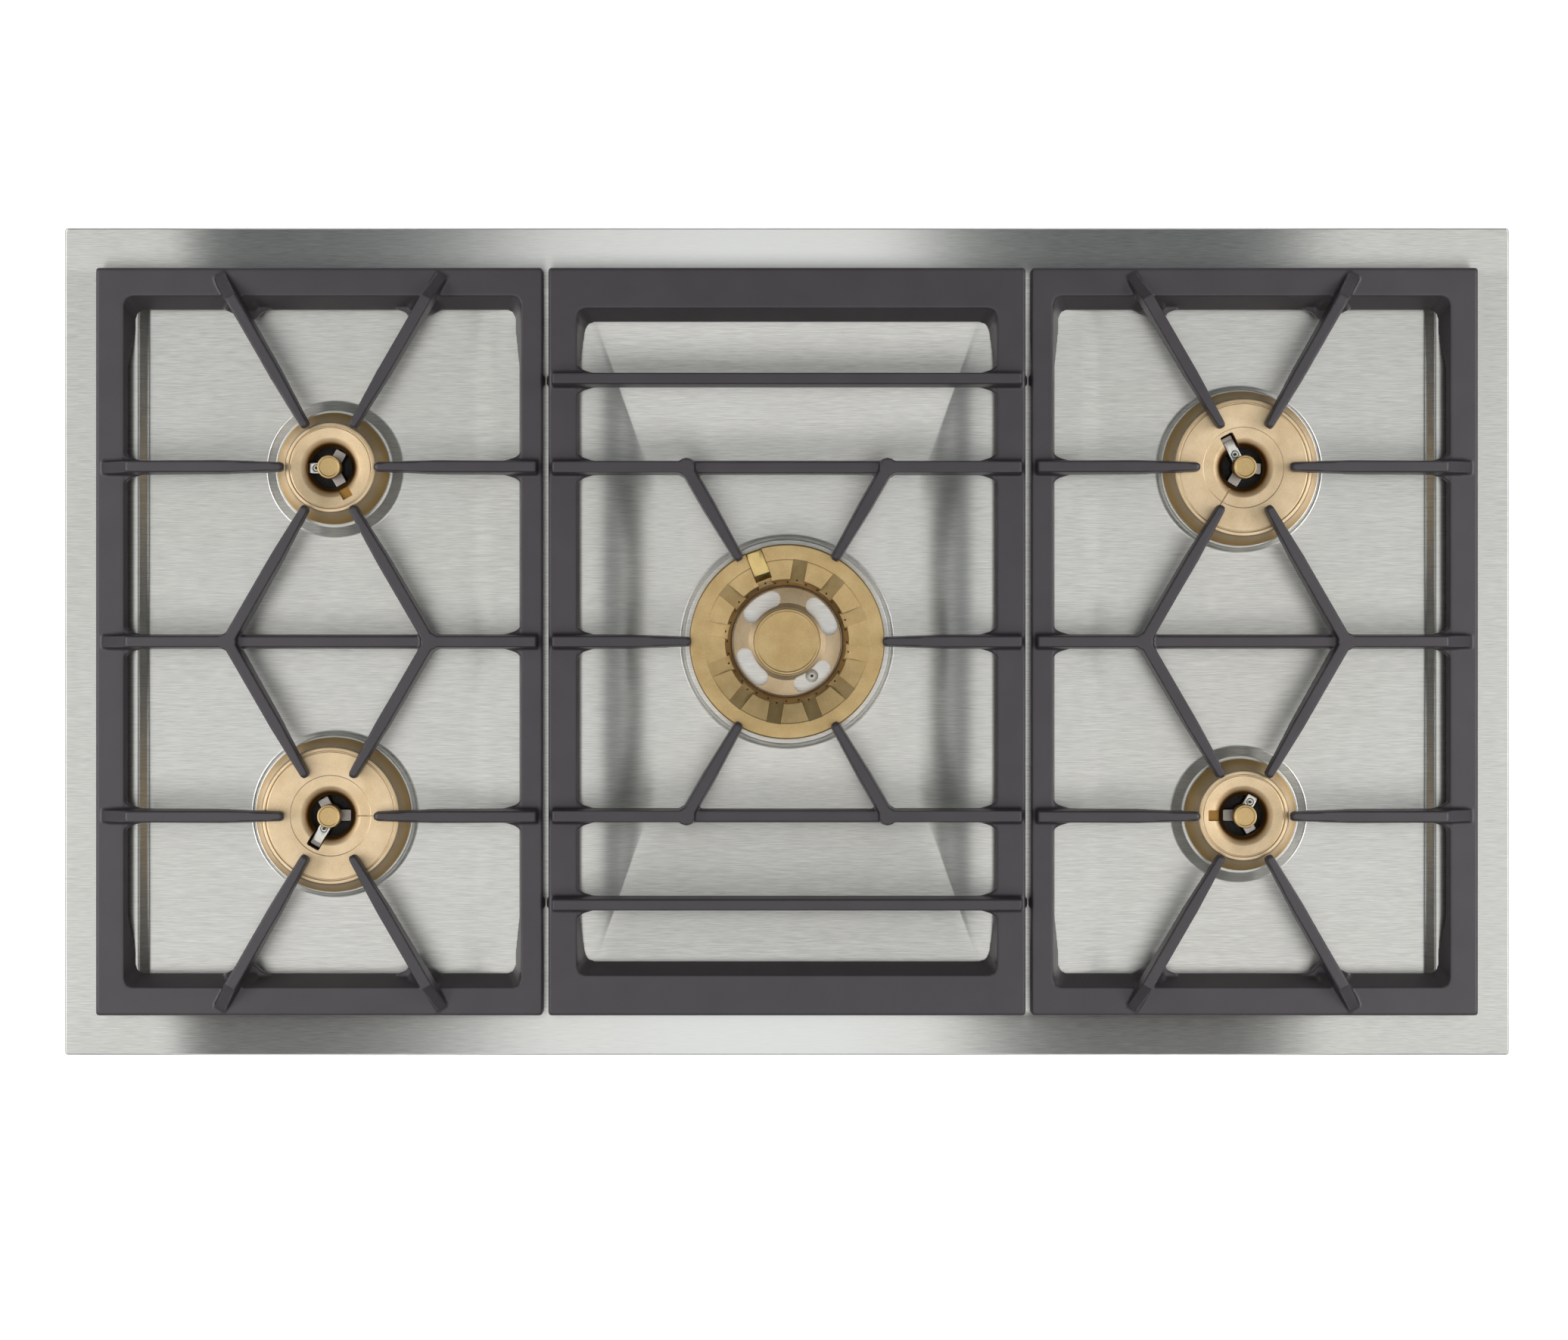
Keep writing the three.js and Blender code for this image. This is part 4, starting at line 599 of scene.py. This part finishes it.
def well_loops(outline, slope, depth, corners, out, into, top_bend, foot_bend):
    """Loops down a well's side, where each point has its own section, since the level around a well varies.

    The slope's runs are those at low X, at high X and at both ends. Out and into are how far the loops reach
    beyond the slope's top and foot, and the bends at the two are shares of its length.
    """
    x0, x1, half = outline
    top_corner, foot_corner = corners

    def at(inset, corner):
        low, high, end = inset
        return ring(x0 + low, x1 - high, -half + end, half - end, corner, *WELL_STEPS)

    sections = []
    for outer, top, foot, inner in zip(
            at([-out] * 3, top_corner + out), at([0] * 3, top_corner), at(slope, foot_corner),
            at([run + into for run in slope], foot_corner + 2)):
        level = land(*top)
        edge = top + (foot - top) * (-level / depth)
        points = [Vector((*p, z)) for p, z in (
            (outer, land(*outer)), (edge, level), (foot, -depth), (inner, -depth))]
        length = (points[2] - points[1]).length
        upper, lower = eased(*points[:3], top_bend * length), eased(*points[1:], foot_bend * length)
        sections.append([points[0], *upper, *lower, points[3]])
    return [[tuple(point) for point in loop] for loop in zip(*sections)]


def steel_plate():
    sheet = Sheet()
    wells, bores = [], []

    def outline(inset):
        return ring(
            -PLATE_HALF_X + inset, PLATE_HALF_X - inset, -PLATE_HALF_Y + inset, PLATE_HALF_Y - inset,
            PLATE_CORNER, *RIM_STEPS)

    def boss(cx, cy, size, floor, top):
        """The raised ring around a burner's bore, and the loop where it meets the floor."""
        loops = [circle(cx, cy, r, z) for r, z in rounded([
            (size["boss_foot"] + BOSS_SKIRT, floor, 0), (size["boss_foot"], floor, 2.0),
            (size["boss"], top, 1.4), (size["bore"], top, 0)], 6)]
        sheet.strips(loops)
        bores.append(loops[-1])
        return loops[0]

    def well(loops, floor, top, burners):
        """A well's sides, the bosses of its burners, and the floor between."""
        sheet.strips(loops)
        wells.append(loops[0])
        holes = [boss(*burner, floor, top) for burner in burners]

        def on_floor(x, y):
            return inside_loop(loops[-1], x, y) and all(
                math.hypot(x - cx, y - cy) > (size["boss_foot"] + BOSS_SKIRT) * INSIDE_CHORD
                for cx, cy, size in burners)

        sheet.flat(loops[-1], holes, lambda x, y: floor, on_floor)

    for side in (-1, 1):
        runs = (SIDE_INNER_SLOPE, SIDE_SLOPE)[::side]
        loops = well_loops(
            (*sorted(side * x for x in SIDE_WELL), WELL_Y), (*runs, SIDE_SLOPE), SIDE_DEPTH,
            (SIDE_CORNER, SIDE_CORNER - SIDE_SLOPE), *SIDE_BENDS)
        well(loops, -SIDE_DEPTH, SIDE_BOSS_TOP, [
            (b["x"], b["y"], b["size"]) for b in BURNERS.values() if b["x"] * side > 0])
    across = CENTRE_X - CENTRE_FOOT_X
    loops = well_loops(
        (-CENTRE_X, CENTRE_X, WELL_Y), (across, across, WELL_Y - CENTRE_FOOT_Y), CENTRE_DEPTH,
        (CENTRE_CORNER, CENTRE_FOOT_CORNER), *CENTRE_BENDS)
    well(loops, -CENTRE_DEPTH, WOK_BOSS_TOP, [(0, 0, WOK)])

    lines = []
    for side in (-1, 1):
        for end in (-1, 1):
            for n in range(LAND_ROWS + 1):
                y = end * (WELL_Y - LAND_RAMP * n / LAND_ROWS)
                lines.append([(side * x, y) for x in LAND_COLUMNS])
    outer = [(p.x, p.y, 0.0) for p in outline(HEM)]
    sheet.flat(outer, wells, land, lambda x, y: not any(inside_loop(loop, x, y) for loop in wells), lines)

    under = [(x, y, z - SHEET) for x, y, z in sheet.points]
    turned_over = [face[::-1] for face in sheet.faces]
    sheet.add(under, turned_over)
    for bore in bores:
        sheet.strips([bore, [(x, y, z - SHEET) for x, y, z in bore]])
    edge = rounded([(HEM, 0, 0), (0, 0, 1.1), (0, -3, 0.4), (HEM, -3, 0.3), (HEM, -SHEET, 0)], 4)
    sheet.strips([[(p.x, p.y, z) for p in outline(inset)] for inset, z in edge])
    plate = make("brushed_steel_plate", sheet.points, sheet.faces, weld=0.002)
    smooth(plate, 60)
    modify(plate, "WEIGHTED_NORMAL", weight=80, keep_sharp=True, mode="FACE_AREA_WITH_ANGLE")
    settle(plate)
    # The shine's long axis follows the sheet's texture space: seen from far off along X, it lies along Y
    plate.data.use_auto_texspace = False
    plate.data.texspace_location = (1000.0, 0.0, 0.0)
    plate.data.texspace_size = (1.0, 1.0, 1.0)
    return plate


fit(steel_plate(), "chassis", STEEL, "plate_steel", "top_plate", at=(0, 0, PLATE_Z))

# ---------------------------------------------------------------- pan supports

BAR = 3.5
WOK_ROWS = (163.3, 108.5, 0.0, -108.5, -163.3)
SIDE_ROWS = (BURNER_Y, 0.0, -BURNER_Y)
FINGER_ROOTS = (-57.0, 57.0)
HAUNCH_BEHIND, HAUNCH_RUN, HAUNCH_SPREAD, HAUNCH_LOW, HAUNCH_HIGH = 5.0, 15.0, 6.0, 10.5, 15.5
FRAME_WALLS = {"left": (-414.0, -165.8), "centre": (-131.4, 131.4), "right": (165.8, 414.0)}


def haunch(x, y, turn):
    """The curve in which a bar widens as it meets the frame's inner wall."""
    side = [(-HAUNCH_BEHIND, BAR + HAUNCH_SPREAD)]
    side += [(HAUNCH_RUN * n / 8, BAR + HAUNCH_SPREAD * (1 - n / 8) ** 2.2) for n in range(9)]
    outline = side + [(along, -across) for along, across in side[::-1]]
    flat = [(x + turn * along, y + across) for along, across in outline]
    return prism(flat, PLATE_Z + HAUNCH_LOW, PLATE_Z + HAUNCH_HIGH)


def at_root(outline, root, middle, row, top):
    """A prism at a slanting finger's root; the outline is (way along X to the burner, place along Y)."""
    turn = -math.copysign(1.0, root)
    flat = [(middle + root + turn * along, row * y) for along, y in outline]
    return prism(flat, PLATE_Z + ROOT_FOOT, PLATE_Z + top)


# What comes off the foot's square corner, and the curve from the end wall into the finger's sides
ROOT_CUT = ((-14.0, 202.0), (-14.0, 208.3), (-11.0, 208.3), (-1.0, 203.4), (-1.0, 202.0))
ROOT_CURVE = (
    (-11.0, 208.7), (-6.0, 206.9), (-1.0, 203.9), (3.0, 200.4), (9.0, 203.5), (12.0, 206.8), (17.0, 208.7),
    (17.0, 213.0), (-11.0, 213.0))
ROOT_FOOT, ROOT_CUT_TOP, ROOT_CURVE_TOP = -1.0, 14.0, 4.5


def gather(obj, pieces):
    """Pieces that overlap, as one mesh that a casting is then made from."""
    body = bmesh.new()
    for piece in (obj, *pieces):
        body.from_mesh(piece.data)
    body.to_mesh(obj.data)
    body.free()
    for piece in pieces:
        bpy.data.objects.remove(piece)


for hand, (low_wall, high_wall) in FRAME_WALLS.items():
    rows = WOK_ROWS if hand == "centre" else SIDE_ROWS
    support = copy_of(f"{hand}_cast_iron_support", f"{hand}_pan_support")
    roots = [haunch(x, y, turn) for x, turn in ((low_wall, 1), (high_wall, -1)) for y in rows]
    if hand != "centre":
        middle = math.copysign(BURNER_X, low_wall)
        places = [(root, middle, row) for root in FINGER_ROOTS for row in (1, -1)]
        carve(support, *(at_root(ROOT_CUT, *place, ROOT_CUT_TOP) for place in places))
        roots += [at_root(ROOT_CURVE, *place, ROOT_CURVE_TOP) for place in places]
    gather(support, roots)
    cast(support, voxel=0.75, passes=4, share=0.3)
    fit(support, f"{hand}_support", IRON, "cast_iron", f"{hand}_pan_support")

# ---------------------------------------------------------------- burners


def lid(name, size, electrode, notch=None, slit=None):
    """A corner burner's lid, cut through for its electrode, with a notch or a slit at its own angle."""
    foot, top, bowl = size["foot"], size["top"], size["bowl"]
    step = [(25.4, 18.02, 0.2), (24.9, 17.75, 0.2)] if size is LARGE else []
    outline = rounded([
        (bowl + 3.5, 2.5, 0), (foot, 2.5, 0.3), (foot, 4.0, 0.8), (top + 0.5, 18.1, 0.5),
        (top - 0.2, 18.7, 0.5), (top - 1.9, 18.95, 0.3), (top - 2.3, 18.3, 0.12), (top - 2.7, 18.25, 0.12),
        (top - 3.2, 18.5, 0.3), *step, (18.6, 17.6, 4.0), (15.0, 16.4, 3.5), (12.8, 13.2, 1.2),
        (12.8, 11.5, 0.2), (bowl, 11.5, 0), (bowl + 3.5, 8.5, 0)], 4, True)
    body = turned(name, outline, 160)
    tools = [prism(slab(0, size["slot"], 4.35, 1.2), 1, 30, electrode)]
    if notch is not None:
        tools.append(prism(slab(
            NOTCH_RADIUS - NOTCH_HALF, NOTCH_RADIUS + NOTCH_HALF, NOTCH_HALF, 0.5), 14.6, 30, notch))
    if slit is not None:
        tools.append(prism(slab(11, top - 1, 0.4, 0.1), 16.4, 30, slit))
    return smooth(carve(body, *tools), 30)


def spider(name, size, electrode):
    """The dark piece inside a lid: a disc with a hub and three spokes."""
    rim = size["bowl"] - 0.9
    body = turned(name, rounded([
        (0, -3.5, 0), (rim, -3.5, 0.4), (rim, -0.5, 0.8), (7, -0.5, 2), (5, 1.5, 2), (5, 24, 0),
        (0, 24, 0)], 4), 96)
    ends = (size["slot"] - 1.2, 12.0, 12.0)
    bars = [prism(slab(0, end, 3.5, 0.6), -2.5, 10.5, electrode + 120 * n) for n, end in enumerate(ends)]
    join(body, *bars)
    carve(body, drill(*polar(ELECTRODE_RADIUS, electrode), radius=2.2, z0=-8, z1=30, segments=24))
    return cast(body, voxel=0.35, passes=2, share=0.35)


def small_cap(name):
    return smooth(turned(name, rounded([
        (0, 26.7, 0), (5.6, 26.7, 0.5), (6.1, 27, 0.3), (7.3, 27, 0.7), (7.3, 17, 0.4), (5.4, 17, 0.2),
        (5.4, 24, 0), (0, 24, 0)], 4), 96), 34)


def bracket(name, size, electrode):
    """The small steel plate that holds an electrode in its slot."""
    plate = prism(slab(6.2, size["bracket"], 3.3, 0.8), 10.5, 11.9, electrode, name)
    carve(plate, drill(*polar(ELECTRODE_RADIUS, electrode), radius=2.3, z0=9, z1=13, segments=32))
    return soften(plate, 0.25)


def electrode_of(name, degrees, top, flange=None):
    """A glazed insulator up to a height, with its square pin, and with a flange at a height or without."""
    foot = [] if flange is None else [(2, flange, 0.1), (4, flange, 0.3), (4, flange + 1.2, 0.8)]
    body = turned(name, rounded([
        (0, top - 54, 0), (1.2, top - 54, 0), (1.2, top - 50, 0), (2, top - 50, 0.3), *foot,
        (2, top, 0.5), (0.9, top, 0.2), (0.9, top - 0.8, 0), (0, top - 0.8, 0)], 3), 40)
    pin = prism(slab(-0.65, 0.65, 0.65, 0.15), top - 2, top + 2.4, degrees, name + "_pin")
    return smooth(body, 40), smooth(pin)


def cup(name, size):
    bowl = size["bowl"]
    return smooth(turned(name, rounded([
        (JET_BORE, CUP_FOOT, 0), (bowl + 3, CUP_FOOT, 2), (bowl + 3, 0.5, 0.2), (size["foot"] - 2, 0.5, 0.3),
        (size["foot"] - 2, 2.5, 0.3), (bowl + 3, 2.5, 0.3), (bowl + 3, 5, 0.4), (bowl, 5, 0.4),
        (bowl, -3.5, 0), (bowl - 3, -3.5, 0.2), (bowl - 3, CUP_FLOOR, 1.5),
        (JET_BORE, CUP_FLOOR, 0)], 3, True), 96), 34)


for place, burner in BURNERS.items():
    size, turn = burner["size"], burner["electrode"]
    at = (burner["x"], burner["y"], PLATE_Z)
    fit(cup(f"{place}_cup_casting", size), "chassis", ALUMINIUM, "aluminium", f"{place}_burner_cup", at=at)
    fit(lid(f"{place}_brass_lid", size, turn, burner.get("notch"), burner.get("slit")),
        f"{place}_lid", LID_BRASS, "brass", f"{place}_burner_lid", at=at)
    fit(spider(f"{place}_spider", size, turn),
        "chassis", SPIDER, "dark_iron", f"{place}_flame_spreader", at=at)
    fit(small_cap(f"{place}_brass_cap"), f"{place}_cap", BRASS, "brass", f"{place}_burner_cap", at=at)
    fit(bracket(f"{place}_electrode_bracket", size, turn), "chassis", BRACKET_STEEL, "casing_steel", at=at)
    insulator, pin = electrode_of(f"{place}_ignition", turn, 12)
    dx, dy = polar(ELECTRODE_RADIUS, turn)
    spot = (at[0] + dx, at[1] + dy, PLATE_Z)
    fit(insulator, "chassis", CERAMIC, "ceramic", f"{place}_electrode", at=spot)
    fit(pin, "chassis", PIN_STEEL, "casing_steel", at=spot)

# ---------------------------------------------------------------- wok burner

CHANNELS = [20.5 + 30 * n for n in range(12)]
CLIP_AT = CHANNELS[3]
WOK_ELECTRODE_AT = -54
WINDOW_RADIUS, WINDOW_HALF, WINDOW_SPAN = 28.1, 5.2, math.radians(17)


def wok_outer_ring():
    outline = rounded([
        (34.7, -0.5, 0), (44, -0.5, 0), (44, 8, 0), (56, 13, 0), (56, -0.5, 0), (60.4, -0.5, 0.5),
        (60.9, 18, 0.3), (60.2, 19, 0.8), (51.4, 18.55, 0.2), (50.8, 18.25, 0.2), (38.6, 16.1, 1.0),
        (36.6, 10.0, 1.0), (34.7, 4, 0.4)], 4, True)
    body = turned("wok_outer_casting", outline, 192)
    channel = [(33, 9.6), (38.6, 12.3), (51.6, 18.5), (51.6, 24), (33, 24)]
    clip_seat = [(40.7, 14), (63, 14), (63, 24), (40.7, 24)]
    tools = [lying(channel, 4.55, angle) for angle in CHANNELS]
    tools.append(lying(clip_seat, 5.3, CLIP_AT))
    for angle in CHANNELS:
        for place, turn in ((38.8, 0), (37.3, 9), (37.3, -9)):
            tools.append(drill(place, 0, radius=0.6, z0=3, z1=24, segments=12, degrees=angle + turn))
    return smooth(carve(body, *tools))


def wok_clip():
    profile = [(41, 14), (60.2, 14), (60.2, 19.4), (59.6, 20), (45, 20), (44, 19.4), (41, 16.4)]
    body = lying(profile, 5, CLIP_AT)
    body.name = "wok_polished_clip"
    soften(body, 0.4)
    groove = prism(slab(50.2, 58.2, 1.5, 1.4), 19.5, 21, CLIP_AT)
    carve(groove, prism(slab(51.0, 57.4, 0.7, 0.6), 19, 22, CLIP_AT))
    return smooth(carve(body, groove))


def window():
    """A curved slot with round ends, about the wok burner's axis."""
    spread = [WINDOW_SPAN * k / 8 for k in range(-8, 9)]
    half_turn = [math.pi * k / 8 for k in range(1, 8)]

    def arc(radius, angles):
        return [(radius * math.cos(a), radius * math.sin(a)) for a in angles]

    def end(at, start):
        cx, cy = arc(WINDOW_RADIUS, [at])[0]
        return [(cx + x, cy + y) for x, y in arc(WINDOW_HALF, [start + a for a in half_turn])]

    return (
        arc(WINDOW_RADIUS + WINDOW_HALF, spread) + end(WINDOW_SPAN, WINDOW_SPAN)
        + arc(WINDOW_RADIUS - WINDOW_HALF, spread[::-1]) + end(-WINDOW_SPAN, math.pi - WINDOW_SPAN))


def wok_inner_ring():
    body = turned("wok_inner_casting", rounded([
        (9, -6.2, 0), (11.4, -6.2, 0.4), (11.4, -0.2, 0), (34.2, -0.2, 0.3), (34.2, 5, 0.7),
        (24.2, 6.3, 1.0), (21.2, 8, 0.6), (17.7, 8, 0), (17.7, 12, 0.4), (9, 12, 0.4)], 4, True), 192)
    return smooth(carve(body, *(prism(window(), -3, 9, 36 + 90 * n) for n in range(4))))


def wok_cap():
    return smooth(turned("wok_brass_cap", rounded([
        (0, 23.7, 0), (18.6, 23.7, 0.6), (19.2, 24, 0.4), (20.7, 24, 0.9), (20.7, 8, 0.6), (18.1, 8, 0.3),
        (18.1, 20, 0), (0, 20, 0)], 4), 128), 34)


def wok_cup():
    return smooth(turned("wok_cup_casting", rounded([
        (JET_BORE, CUP_FOOT, 0), (57, CUP_FOOT, 2), (57, -2.3, 0.4), (54, -2.3, 0.4), (54, CUP_FLOOR, 2),
        (16.5, CUP_FLOOR, 1.5), (16.5, -0.2, 0.3), (12, -0.2, 0.3), (12, CUP_FLOOR, 1),
        (JET_BORE, CUP_FLOOR, 0)], 3, True), 96), 34)


middle_at = (0, 0, PLATE_Z)
fit(wok_cup(), "chassis", ALUMINIUM, "aluminium", "wok_burner_cup", at=middle_at)
fit(wok_outer_ring(), "wok_ring", BRASS, "brass", "wok_outer_ring", at=middle_at)
fit(wok_clip(), "wok_ring", BRIGHT_BRASS, "bright_brass", "wok_ring_clip", at=middle_at)
fit(wok_inner_ring(), "wok_inner", PALE_BRASS, "brass", "wok_inner_ring", at=middle_at)
fit(wok_cap(), "wok_cap", BRASS, "brass", "wok_burner_cap", at=middle_at)
insulator, pin = electrode_of("wok_ignition", WOK_ELECTRODE_AT, 4, -0.2)
spot = (*polar(WOK_ELECTRODE_RADIUS, WOK_ELECTRODE_AT), PLATE_Z)
fit(insulator, "chassis", CERAMIC, "ceramic", "wok_electrode", at=spot)
fit(pin, "chassis", PIN_STEEL, "casing_steel", at=spot)

# ---------------------------------------------------------------- pieces under the plate

casing = soften(copy_of("zinc_coated_casing", "bottom_pan"), 0.7)
fit(casing, "chassis", GALVANISED, "casing_steel", "bottom_pan")
CARRIED = {
    "rim_seal": RUBBER, "control_box": PLASTIC, "ignition_box": PLASTIC, "power_inlet": PLASTIC,
    "gas_rail": GALVANISED, "gas_inlet": GALVANISED,
}
for node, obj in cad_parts.items():
    if obj.hide_render:
        continue
    material = CARRIED.get(node)
    if node.endswith("_clamp"):
        material = GALVANISED
    elif node.endswith("_jet"):
        material = BRASS
    elif node.endswith(("_valve", "_pipe")):
        material = ALUMINIUM
    obj.data.materials.clear()
    obj.data.materials.append(material)

# ---------------------------------------------------------------- studio

FLOOR_HALF, FLOOR_GLOW = 20.0, 0.6
WORLD_COLOR, WORLD_STRENGTH = (0.8, 0.96, 1.0, 1.0), 0.12
CAMERA_ABOVE_PLATE = 2200.0
FOCAL_LENGTH, SENSOR_WIDTH, SHIFT_X, SHIFT_Y = 80.35, 36.0, -0.0019, -0.0181


def plane(name, half):
    """A level square about the middle, at the height of the object's foot."""
    corners = [(-half, -half, 0), (half, -half, 0), (half, half, 0), (-half, half, 0)]
    mesh = bpy.data.meshes.new(name)
    mesh.from_pydata(corners, [], [(0, 1, 2, 3)])
    obj = bpy.data.objects.new(name, mesh)
    bpy.context.scene.collection.objects.link(obj)
    return obj


def white_floor():
    """Pale ground that shows white to the eye and in metal, and keeps a shadow."""
    ground = Recipe("White floor", Roughness=0.9, Emission_Strength=FLOOR_GLOW)
    path = {kind: ground.node("ShaderNodeLightPath", {}, {}, f"Is {kind} Ray")
            for kind in ("Camera", "Glossy", "Transmission")}
    seen = ground.node("ShaderNodeMath", {"operation": "MAXIMUM"}, {
        0: path["Camera"], 1: ground.node("ShaderNodeMath", {"operation": "MAXIMUM"}, {
            0: path["Glossy"], 1: path["Transmission"]})})
    pale = ground.shades(ground.noise((3, 3, 3)), (0.3, rgb(246, 246, 246)), (0.7, rgb(250, 250, 250)))
    return ground.wear(
        Base_Color=pale,
        Emission_Color=ground.blend(seen, (0, 0, 0, 1), (1, 1, 1, 1))).material


floor = plane("Floor", FLOOR_HALF)
floor.data.materials.append(white_floor())


def lamp(name, power, size_x, size_y, at, target, spread=180):
    """A softbox of a power in watts, aimed at a point; its spread is the angle that its light stays in."""
    light = bpy.data.lights.new(name, "AREA")
    light.spread = math.radians(spread)
    light.shape, light.size, light.size_y, light.energy = "RECTANGLE", size_x, size_y, power
    obj = bpy.data.objects.new(name, light)
    obj.location = at
    obj.rotation_euler = (Vector(at) - Vector(target)).to_track_quat("Z", "Y").to_euler()
    bpy.context.scene.collection.objects.link(obj)


lamp("Overhead softbox", power=37, size_x=4.0, size_y=2.3, at=(0.0, -0.65, 2.7), target=(0.0, -0.65, 0.0))
lamp("Back softbox", power=3, size_x=4.0, size_y=1.2, at=(0.0, 1.1, 2.7), target=(0.0, 1.1, 0.0))
for name, side in (("Left softbox", -1), ("Right softbox", 1)):
    lamp(name, power=0.8, size_x=1.4, size_y=0.3, at=(side * 0.80, 0.0, 0.60),
         target=(side * 0.30, 0.0, 0.1), spread=50)

world = bpy.data.worlds.new("Studio")
world.use_nodes = True
bpy.context.scene.world = world
background = world.node_tree.nodes["Background"]
background.inputs["Color"].default_value = WORLD_COLOR
background.inputs["Strength"].default_value = WORLD_STRENGTH

camera = bpy.data.objects.new("Camera", bpy.data.cameras.new("Camera"))
camera.data.sensor_width, camera.data.lens = SENSOR_WIDTH, FOCAL_LENGTH
camera.data.shift_x, camera.data.shift_y = SHIFT_X, SHIFT_Y
camera.location = (0, 0, (PLATE_Z + CAMERA_ABOVE_PLATE) * MM)
bpy.context.scene.collection.objects.link(camera)
bpy.context.scene.camera = camera
bpy.context.scene.view_settings.view_transform = "Standard"
